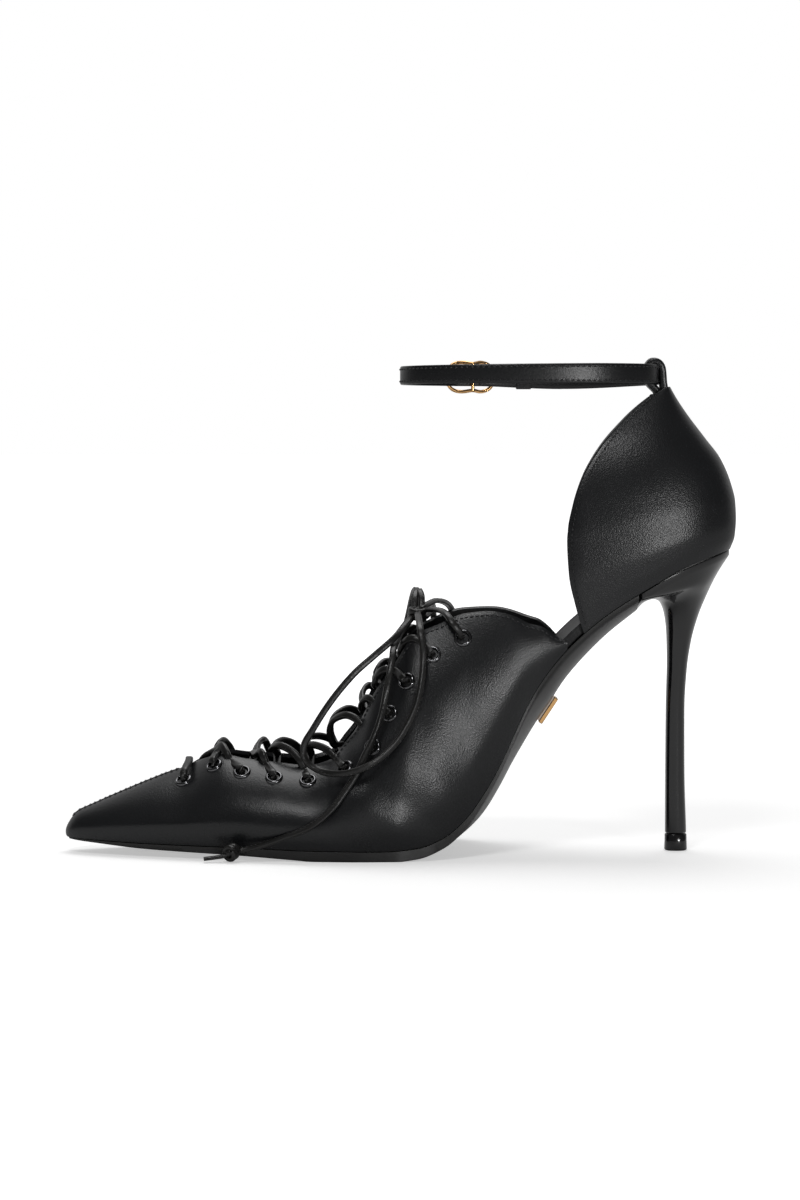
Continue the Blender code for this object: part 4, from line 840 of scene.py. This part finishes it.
# soft folds where the shoe bends: x and z of both ends, half width, height (below 0 is a trough)
creases = [
    (-19.0, 25.0, 2.0, 8.5, 5.0, 0.50), (-9.0, 29.0, 14.0, 9.5, 4.6, -0.45), (1.0, 36.0, 27.0, 13.5, 6.0, 0.40),
    (10.0, 52.0, 40.0, 31.0, 7.0, -0.30), (-33.0, 23.0, -20.0, 9.0, 5.0, -0.30),
    (-55.0, 20.0, -44.0, 10.0, 6.0, 0.20), (22.0, 66.0, 45.0, 50.0, 6.0, 0.25),
]

def creaseHeight(x, z):
    height = 0.0
    for fromX, fromZ, toX, toZ, half, rise in creases:
        runX, runZ = toX - fromX, toZ - fromZ
        share = ((x - fromX) * runX + (z - fromZ) * runZ) / (runX**2 + runZ**2)
        nearest = min(max(share, 0), 1)
        off = math.hypot(x - fromX - runX * nearest, z - fromZ - runZ * nearest)
        height += rise * math.exp(-((off / half) ** 2) * 1.4)
    return height

def foldedPoint(along, side, share):
    # the upper's face with its folds, which fade out towards the seam and the edge
    point = upperPoint(along, side, share)
    fade = min(share / 0.15, (1 - share) / 0.22, 1)
    if fade <= 0 or along < throatStart:
        return point
    shift = 1.5 if side == lateral else 0.0
    return point + upperNormal(along, side, share) * creaseHeight(point.x + shift, point.z) * fade

def addUpper():
    stations = [0.1, 0.3, 0.6, 1.0, 1.6, 2.4, 3.4, 4.6, 6.0, 7.6, 9.4]
    stations += spread(9.4, throatStart, 20)
    closed = len(stations) - 1
    stations += spread(throatStart, upperRear, int((upperRear - throatStart) / upperLook["along"]))
    shares = [k / upperLook["rows"] for k in range(upperLook["rows"] + 1)]
    top = len(shares) - 1
    points, index = [], {}
    for i, along in enumerate(stations):
        left = min(max((upperRear + 0.6 - along) / upperLook["feather"], 0), 1)
        reach = (1 - (1 - left)**2) ** 0.6
        for side in (medial, lateral):
            for j, share in enumerate(shares):
                share *= reach
                if j == top and side == lateral and i <= closed:
                    index[i, side, j] = index[i, medial, j]
                    continue
                index[i, side, j] = len(points)
                points.append(foldedPoint(along, side, share))
    faces = []
    for i in range(len(stations) - 1):
        for side in (medial, lateral):
            for j in range(top):
                faces.append([index[a, side, b] for a, b in ((i, j), (i + 1, j), (i + 1, j + 1), (i, j + 1))])
    nose = len(points)
    points.append(Vector((toeX, middle(0.0), upperLook["noseHeight"])))
    for side in (medial, lateral):
        for j in range(top):
            faces.append([index[0, side, j], index[0, side, j + 1], nose])
    piece = addMesh("vampAndQuarters", points, faces, upperLeather, "upper_leather", nodes=["upper_front"])
    thicken(piece, upperLook["wall"], liningLeather)
    roundTheEdges(piece, upperLook["edgeRound"])

addUpper()
print("vamp and quarters shaped")

# heel counter
counterLook = {"farEdge": 0.98, "peak": 2.4, "peakFrom": 0.86, "wall": 1.6, "edgeRound": 0.5, "levels": 56,
               "around": 36}

def addCounter():
    levels = [k / counterLook["levels"] for k in range(counterLook["levels"] + 1)]
    arounds = [k / counterLook["around"] for k in range(-counterLook["around"], counterLook["around"] + 1)]
    points = []
    for level in levels:
        peak = max((level - counterLook["peakFrom"]) / 0.14, 0) ** 1.5 * counterLook["peak"]
        back = counterLevels["backX"](level)
        for around in arounds:
            point = counterPoint(level, around * (counterLook["farEdge"] if around > 0 else 1))
            share = (back - point.x) / max(back - counterLevels["frontX"](level), 0.1)
            points.append(point + Vector((peak * min(share, 1), 0, 0)))
    piece = addMesh("heelCounter", points, gridFaces(len(levels), len(arounds)), upperLeather, "upper_leather",
                    nodes=["upper_back"])
    # the sheet is open, so its faces are turned outwards by hand
    face = piece.data.polygons[len(piece.data.polygons) // 2 + counterLook["around"]]
    if face.normal.x < 0:
        piece.data.flip_normals()
    thicken(piece, counterLook["wall"], liningLeather)
    roundTheEdges(piece, counterLook["edgeRound"])

addCounter()
print("counter shaped")

# sole, footbed, heel and its tip
soleLook = {"edgeRound": 0.3, "across": 19}

def addOutsole():
    stations = [1.25, 1.4, 1.7, 2.1, 2.8, 3.6, 4.6, 5.8, 7.2, 9.0] + spread(9.0, 114.0, 42)
    stations += spread(114.0, upperRear, 48) + spread(upperRear, 197.5, 20)
    acrosses = [math.sin(math.pi / 2 * (2 * k / (soleLook["across"] - 1) - 1)) for k in range(soleLook["across"])]
    rings = []
    for along in stations:
        half, centre = soleHalf(along), middle(along)
        x, top = toeX + along, seam["height"](along) - gapSize
        edge = min(0.35, soleDepth["band"](along) * 0.3)
        ring = []
        for across in acrosses:
            z = soleUnderside(along, across)
            if abs(across) > 0.9999:
                z = min(z + edge, top - 0.1)
            ring.append((x, centre + across * half, z))
        ring += [(x, centre + across * half, top) for across in (1.0, 0.5, 0.0, -0.5, -1.0)]
        rings.append(ring)
    piece = loftRings("outsole", rings, soleLeather, "sole_leather", 40, ["outsole"])
    roundTheEdges(piece, soleLook["edgeRound"], 2, 50)

insoleLook = {"thick": 2.6, "threadRadius": 0.28, "threadFrom": -10, "edgeRound": 0.5}

def addInsole():
    clear = wallThick * 1.25 + gapSize
    stations = [13.0] + spread(13.0, 114.0, 40) + spread(114.0, 220.0, 60) + [221.8, 223.5, 225.0, 226.4, 227.6]
    rings = []
    for along in stations:
        half = halfWidth(along) - clear
        if along > seatStart:
            share = (along - seatStart) / (seatBack - clear - seatStart)
            half = (seatHalf - clear) * (1 - share**seatPower) ** (1 / seatPower)
        x, low = toeX + along, seam["height"](along)
        raised = min(insoleLook["thick"], 1.2 + along * 0.02) * math.sqrt(1 + seamSlope(along) ** 2)
        ring = [(x, middle(along) + across * half, low) for across in (-1.0, -0.4, 0.4, 1.0)]
        for k in range(13):
            across = 1 - k / 6
            ring.append((x, middle(along) + across * half, low + raised + 1.0 * across**2 - 0.3))
        rings.append(ring)
    points, faces = [], []
    seen = [ring for ring in rings if ring[0][0] > insoleLook["threadFrom"]]
    for corner, shift in ((16, 0.25), (4, -0.25)):
        edge = [Vector(ring[corner]) + Vector((0, shift, -0.1)) for ring in seen]
        joinMesh(points, faces, tubePoints(edge, insoleLook["threadRadius"], 8))
    addMesh("insoleEdge", points, faces, thread, "lining_leather", 60)
    roundTheEdges(loftRings("insole", rings, liningLeather, "lining_leather", 40, ["insole"]),
                  insoleLook["edgeRound"], 3, 40)

heelLook = {"around": 64, "steps": 7, "seatHalf": 21.6, "edgeRound": 0.2}
heelCentre = middle(210.0)  # across the shoe, also of the heel tip and the loop for the strap

def addHeel():
    rings = []
    for drop in (False, True):
        ring = []
        for turn in turns(heelLook["around"]):
            power, reach = 2 / 2.3, seatBack + toeX - 0.2 - heelSide
            if math.cos(turn) < 0:
                power, reach = 2 / 9.0, heelSide - heelFront
            x = heelSide + reach * powerOf(math.cos(turn), power)
            y = heelLook["seatHalf"] * powerOf(math.sin(turn), power)
            z = seam["height"](x - toeX) - gapSize
            if drop:
                across = y / halfWidth(x - toeX) if math.cos(turn) < 0 else 1.0
                z = min(soleUnderside(x - toeX, min(abs(across), 1.0)), z - 1.6)
            ring.append(Vector((x, heelCentre + y, z)))
        rings.append(ring)
    for frontX, frontZ, square, sideX, sideY, sideZ, backX, backZ in heelRings:
        ring = []
        for turn in turns(heelLook["around"]):
            endX, endZ, power = (frontX, frontZ, 2 / square) if math.cos(turn) < 0 else (backX, backZ, 2 / 2.2)
            part = abs(math.cos(turn)) ** power
            ring.append(Vector((sideX + (endX - sideX) * part, heelCentre + sideY * powerOf(math.sin(turn), power),
                                sideZ + (endZ - sideZ) * part)))
        rings.append(ring)
    # smooth the way down between the rings
    fine = [rings[0]]
    places = list(range(len(rings) - 1))
    columns = [[curveThrough(places, [ring[k][n] for ring in rings[1:]]) for n in range(3)]
               for k in range(heelLook["around"])]
    for step in range((len(places) - 1) * heelLook["steps"] + 1):
        fine.append([Vector([curve(step / heelLook["steps"]) for curve in column]) for column in columns])
    roundTheEdges(loftRings("heel", fine, glossHeel, "gloss_heel", 45, ["heel"]), heelLook["edgeRound"], 2, 60)

# from the top down: height, and how much wider the tip is there
tipProfile = [(tipTop, -0.5), (tipTop - 0.15, -0.2), (tipTop - 0.4, 0.0), (3.0, 0.05), (0.5, 0.15), (0.2, 0.05),
              (0.0, -0.25)]

tipLook = {"x": 95.9, "halfLength": 3.8, "halfWidth": 3.7, "square": 2.4}

def addHeelTip():
    power = 2 / tipLook["square"]
    rings = [[(tipLook["x"] + (tipLook["halfLength"] + grow) * powerOf(math.cos(turn), power),
               heelCentre + (tipLook["halfWidth"] + grow) * powerOf(math.sin(turn), power), z) for turn in turns(48)]
             for z, grow in tipProfile]
    loftRings("heelTip", rings, glossTip, "heel_tip", 40, ["heel_tip"])

addOutsole()
addInsole()
addHeel()
addHeelTip()
print("sole and heel shaped")

# ankle strap with its buckle, keeper and loop
strapLook = {"sag": 1.0, "sagFrom": 28, "sagTo": 88, "steps": 320, "tipRound": 8, "stitchInset": 1.1,
             "stitchPitch": 1.9, "stitchRadius": 0.25}

def strapSag(x, y):
    begin, end = strapLook["sagFrom"], strapLook["sagTo"]
    if y < 0 or not begin < x < end:
        return 0.0
    return -strapLook["sag"] * math.sin(math.pi * (x - begin) / (end - begin)) ** 1.5

def strapSection(angle):
    # the strap's corners at this angle: plan points inside and outside, and its lower and upper edge
    begin, end = strapRise
    share = min(max((angle - begin) / (end - begin), 0), 1)
    offset = strapOverlay * (3 - 2 * share) * share**2
    inner, outer = (strapPlan(angle, offset + s * strapThick / 2) for s in (-1, 1))
    low, high = (h + strapSag(inner.x, inner.y) for h in strapHeights(inner.x, inner.y))
    # the free end is rounded
    pinch, left = 0.0, strapEnd + strapLook["tipRound"] - angle
    if left > 0:
        pinch = 1 - math.sqrt(max(1 - (left / strapLook["tipRound"]) ** 2, 0))
    half = (high - low) / 2
    return inner, outer, low + 0.92 * half * pinch, high - 0.92 * half * pinch

def addStrap():
    rings = []
    rows = {"low": [], "high": []}
    for k in range(strapLook["steps"] + 1):
        angle = strapStart + (strapEnd - strapStart) * k / strapLook["steps"]
        inner, outer, low, high = strapSection(angle)
        half, mid, thick = (high - low) / 2, (high + low) / 2, (outer - inner) / 2
        plan = (inner + outer) / 2
        ring = []
        for turn in turns(16):
            across, rise = powerOf(math.cos(turn), 0.35), powerOf(math.sin(turn), 0.3)
            spot = plan + thick * across
            ring.append((spot.x, spot.y, mid + half * rise))
        rings.append(ring)
        if k % 2 == 0 and half > 2.4:
            skin = plan + thick * 0.97
            rows["low"].append(Vector((skin.x, skin.y, low + strapLook["stitchInset"])))
            rows["high"].append(Vector((skin.x, skin.y, high - strapLook["stitchInset"])))
    loftRings("ankleStrap", rings, strapLeather, "upper_leather", 70, ["ankle_strap"])
    points, faces = [], []
    for row in rows.values():
        stitchRow(points, faces, row, strapLook["stitchPitch"], strapLook["stitchRadius"], 0.6)
    addMesh("strapStitches", points, faces, thread, "upper_leather", 60)

loopLook = {
    "thick": 2.7,
    "path": [(89.6, 158.4), (87.8, 160.4), (86.2, 162.0), (85.4, 164.0), (85.2, 166.4), (85.7, 168.2), (86.9, 169.5),
             (88.3, 169.5), (89.5, 168.8), (90.3, 167.3), (90.6, 165.0), (90.8, 162.4), (91.2, 160.0)],
}

def addStrapLoop():
    path = smoothRoute([(x, 0, z) for x, z in loopLook["path"]], 0.5)
    rings = []
    for k, point in enumerate(path):
        run = runAt(path, k)
        out = Vector((-run.z, 0, run.x)) * loopLook["thick"] / 2
        rings.append([point + out * powerOf(math.sin(turn), 0.5)
                      + Vector((0, heelCentre + loopHalf * powerOf(math.cos(turn), 0.3), 0)) for turn in turns(16)])
    loftRings("strapLoop", rings, strapLeather, "upper_leather", 70, ["strap_loop"])

keeperLook = {"thick": 0.5, "edgeRound": 0.35}

def addKeeper():
    inside, outside = -strapThick / 2 - gapSize, strapOverlay + strapThick / 2 + gapSize
    sag = strapSag(sum(keeperX) / 2, strapHalf)
    low, high = (h + sag for h in strapHeights(keeperX[0], strapHalf))
    low, high = low - gapSize / 2, high + gapSize / 2
    points, faces = [], []
    for x in keeperX:
        angle = buckleAngle(x)
        for grow in (0.0, keeperLook["thick"]):
            for offset, z in ((inside - grow, low - grow / 2), (outside + grow, low - grow / 2),
                              (outside + grow, high + grow), (inside - grow, high + grow)):
                points.append((*strapPlan(angle, offset), z))
    for k in range(4):
        m = (k + 1) % 4
        faces += [[k, m, m + 4, k + 4], [k + 8, m + 8, m + 12, k + 12], [k, m, m + 8, k + 8],
                  [k + 4, m + 4, m + 12, k + 12]]
    roundTheEdges(addMesh("strapKeeper", points, faces, strapLeather, "upper_leather", 40, ["strap_keeper"]),
                  keeperLook["edgeRound"])

def evenRing(path, count):
    # a closed line with evenly spaced points
    path = [Vector(p) for p in path]
    path.append(path[0])
    lengths = lengthsAlong(path)
    return [spotAt(path, lengths, lengths[-1] * k / count) for k in range(count)]

def addBuckle():
    middleZ, power = buckleHeight(), 2 / 3
    path = []
    for turn in turns(720, 0):
        along = buckleHalfLength * powerOf(math.cos(turn), power)
        waist = buckleWaist * math.exp(-((along / 2.4) ** 2))
        rise = (buckleHalfHeight - waist) * powerOf(math.sin(turn), power)
        x, y = strapPlan(buckleAngle(buckleX + along), min(buckleLift, buckleLift * abs(along) / 4.6))
        path.append((x, y, middleZ + rise))
    path = evenRing(path, 130)
    points, faces = tubePoints(path, buckleWire, 14, closed=True)
    x, y = strapPlan(buckleAngle(buckleX), 0.0)
    reach = buckleHalfHeight - buckleWaist
    bar = [(x, y, middleZ - reach + 2 * reach * n / 8) for n in range(9)]
    joinMesh(points, faces, tubePoints(bar, buckleWire * 0.95, 14))
    addMesh("buckleFrame", points, faces, paleGold, "gold_metal", 60, ["buckle_frame"])
    rest = buckleLift + buckleWire + gapSize + prongRadius
    spots = [(-prongShift, 1.0), (-prongShift, 3.2), (-2.4, 4.3), (-4.6, rest - 0.1), (-6.6, rest + 0.05),
             (-8.4, rest - 0.1)]
    path = smoothRoute([(*strapPlan(buckleAngle(buckleX + along), lift), middleZ) for along, lift in spots], 0.4)
    addMesh("buckleProng", *tubePoints(path, prongRadius, 12), paleGold, "gold_metal", 60, ["buckle_prong"])

addStrap()
addStrapLoop()
addKeeper()
addBuckle()
print("ankle strap buckled")

# eyelets: a domed ring outside and a flat one inside
eyeletLook = {"around": 28, "flange": 0.75}

def addEyelets():
    base, dome = -0.1, eyeletLook["flange"]
    # round the ring's section: radius, and height above the leather
    profile = [
        (eyeletBore, base), (eyeletBore + 0.05, dome * 0.6), (eyeletBore + 0.3, dome * 0.95),
        (eyeletBore + 0.6, dome), (eyeletOuter - 0.3, dome * 0.72), (eyeletOuter - 0.06, dome * 0.35),
        (eyeletOuter, base), (eyeletBarrel, base - 0.2), (eyeletBarrel, -wallThick - 0.1),
        (eyeletOuter - 0.4, -wallThick - 0.15), (eyeletOuter - 0.5, -wallThick - 0.4),
        (eyeletBore + 0.1, -wallThick - 0.5), (eyeletBore, -wallThick - 0.3),
    ]
    sides = eyeletLook["around"]
    faces = [[corner % (len(profile) * sides) for corner in face] for face in tubeFaces(len(profile) + 1, sides)[2:]]
    for sideName, side in (("medial", medial), ("lateral", lateral)):
        for number in range(len(eyeletPlaces)):
            centre, axis = eyeletSpot(number, side)
            across = axis.orthogonal().normalized()
            other = axis.cross(across)
            points = [centre + axis * height + (across * math.cos(turn) + other * math.sin(turn)) * radius
                      for radius, height in profile for turn in turns(sides, 0)]
            node = f"eyelet_{sideName}_{number + 1:02d}"
            addMesh(node + "_ring", points, faces, blackMetal, "black_metal", 60, [node])

addEyelets()
print("eyelets set")

# seams: stitches inside the edge of the quarters and the counter, and the seam on the toe's ridge
seamLook = {"pitch": 1.8, "radius": 0.24, "inset": 1.5, "sunk": 0.05, "quarterStart": 93.0, "parts": 240,
            "ridgeStart": 2.5, "ridgeEnd": 39.5, "ridgeParts": 120, "ridgePitch": 1.9, "ridgeRadius": 0.32,
            "ridgeStitch": 0.36}

def insetLine(side, begin, end, inset):
    # a line on the upper's outer face at a distance inside its edge
    line = []
    for along in [begin] + spread(begin, end, seamLook["parts"]):
        edge = upperPoint(along, side, 1.0)
        ahead = upperPoint(min(along + 0.3, upperRear), side, 1.0) - upperPoint(along - 0.3, side, 1.0)
        out = upperNormal(along, side, 0.97)
        inward = out.cross(ahead).normalized()
        if (upperPoint(along, side, 0.9) - edge).dot(inward) < 0:
            inward = -inward
        target = edge + inward * inset
        place = target.x - toeX
        if not throatStart < place < upperRear:
            continue
        share = shareAtHeight(place, side, target.z)
        line.append(upperPoint(place, side, share) + upperNormal(place, side, share) * seamLook["sunk"])
    return line

def counterInset(level, inset):
    # how far round the counter a line lies that runs at a distance from its front edge
    edge, away = counterPoint(level, 1.0), 1.0
    while (counterPoint(level, away) - edge).length < inset and away > 0.5:
        away -= 0.002
    return away

def addSeams():
    points, faces = [], []
    for side in (medial, lateral):
        stitchRow(points, faces, insetLine(side, seamLook["quarterStart"], upperRear - 1, seamLook["inset"]),
                  seamLook["pitch"], seamLook["radius"])
        front = []
        for k in range(160):
            level = 0.03 + 0.95 * k / 159
            away = side * counterInset(level, seamLook["inset"]) * (counterLook["farEdge"] if side == lateral else 1)
            spot = counterPoint(level, away)
            along = counterPoint(level, side * (1 - 0.06)) - counterPoint(level, side * (1 - 0.01))
            up = counterPoint(min(level + 0.01, 1), away) - counterPoint(max(level - 0.01, 0), away)
            out = along.cross(up).normalized()
            if out.y * side < 0:
                out = -out
            front.append(spot + out * seamLook["sunk"])
        stitchRow(points, faces, front, seamLook["pitch"], seamLook["radius"])
    parts = seamLook["ridgeParts"]
    alongs = [seamLook["ridgeStart"]] + spread(seamLook["ridgeStart"], seamLook["ridgeEnd"], parts)
    ridge = [upperPoint(along, medial, 1.0) for along in alongs]
    joinMesh(points, faces, tubePoints([p - Vector((0, 0, 0.05)) for p in ridge], seamLook["ridgeRadius"], 10))
    count = int(lengthsAlong(ridge)[-1] / seamLook["ridgePitch"])
    for k in range(count):
        spot = ridge[min(int((k + 0.5) * parts / count), parts)]
        pairs = [(spot + Vector((0, -1.2 * side, -0.3)), spot + Vector((0, 0.15 * side, 0.3))) for side in (1, -1)]
        stitchMesh(points, faces, pairs, seamLook["ridgeStitch"])
    addMesh("upperStitches", points, faces, thread, "upper_leather", 60)

addSeams()
print("seams stitched")

# plain plate under the shank
def addPlate():
    centre = middle(plateX[0] - toeX)
    ends = [Vector((x, centre, soleUnderside(x - toeX, 0))) for x in plateX]
    run = (ends[1] - ends[0]).normalized()
    down = Vector((run.z, 0, -run.x))
    rings = []
    for end in ends:
        near, far = end + down * (gapSize + 0.25), end + down * (gapSize + 0.25 + plateThick)
        across = Vector((0, plateHalf, 0))
        rings.append([near - across, near + across, far + across * 0.94, far - across * 0.94])
    roundTheEdges(loftRings("solePlate", rings, paleGold, "gold_metal", 30, ["sole_plate"]), 0.3)

addPlate()
print("plate fixed")

# pale floor and soft studio light
# the floor's painted glow for the camera goes from weaker near the shoe, which is painted shade around it, to full
# further away
studioLook = {"behindShoe": 0.50, "behindCamera": 0.09, "wallFade": (0.2, 0.6), "floor": 0.80, "floorHalf": 6000,
              "paintedShadeGlowNear": 0.46, "glowFar": 1.0, "glowFade": (0.25, 0.9)}
lights = {
    "quarterLight": {"at": (0.56, -1.27, 0.16), "to": (0, 0, 0.06), "size": (0.22, 0.13), "power": 4.0},
    "vampLight": {"at": (-0.19, -0.89, 1.13), "to": (0, 0, 0.06), "size": (0.34, 0.26), "power": 4.4},
    "topLight": {"at": (0.0, 0.42, 1.3), "to": (0, 0, 0), "size": (0.9, 0.8), "power": 8},
}

def addFloor():
    made, shader, place = newMaterial("studioFloor")
    feed(made, shader, {"Base Color": (studioLook["floor"],) * 3 + (1,), "Roughness": 0.8, "Specular IOR Level": 0.2})
    # bright paper: a painted glow that only the camera sees; it is weaker near the shoe, which paints shade around the
    # shoe and lets the soft shadow show there
    away = addNode(made, "VectorMath", {0: place}, "Value", operation="LENGTH")
    glow = addNode(made, "Math", {
        0: addNode(made, "LightPath", {}, "Is Camera Ray"),
        1: mapped(made, away, studioLook["paintedShadeGlowNear"], studioLook["glowFar"], *studioLook["glowFade"]),
    }, "Value", operation="MULTIPLY")
    paintedFloorGlow = addNode(made, "Emission", {"Strength": glow}, "Emission")
    both = addNode(made, "AddShader", {0: shader.outputs["BSDF"], 1: paintedFloorGlow}, "Shader")
    feed(made, made.node_tree.nodes["Material Output"], {"Surface": both})
    size = studioLook["floorHalf"]
    mesh = bpy.data.meshes.new("studioFloor")
    corners = ((-size, -size), (size, -size), (size, size), (-size, size))
    mesh.from_pydata([Vector((x, y, -0.05)) * mm for x, y in corners], [], [(0, 1, 2, 3)])
    mesh.materials.append(made)
    addObject("studioFloor", mesh)

def addLights():
    for name, look in lights.items():
        data = bpy.data.lights.new(name, "AREA")
        data.shape = "RECTANGLE"
        data.size, data.size_y = look["size"]
        data.energy = look["power"]
        light = addObject(name, data)
        light.location = look["at"]
        light.rotation_euler = (Vector(look["to"]) - Vector(look["at"])).to_track_quat("-Z", "Y").to_euler()

def addWorld():
    # a white wall behind the shoe and a dim room behind the camera
    world = bpy.data.worlds.new("studio")
    bpy.context.scene.world = world
    world.use_nodes = True
    place = addNode(world, "TexCoord", {}, "Generated")
    depth = addNode(world, "SeparateXYZ", {"Vector": place}, "Y")
    wall = mapped(world, depth, studioLook["behindCamera"], studioLook["behindShoe"], *studioLook["wallFade"])
    seen = addNode(world, "LightPath", {}, "Is Camera Ray")
    brighter = addNode(world, "Math", {0: wall, 1: seen}, "Value", operation="MAXIMUM")
    feed(world, world.node_tree.nodes["Background"], {"Color": (1, 1, 1, 1), "Strength": brighter})

addFloor()
addWorld()
addLights()
bpy.context.scene.view_settings.view_transform = "Standard"
print("studio lit")
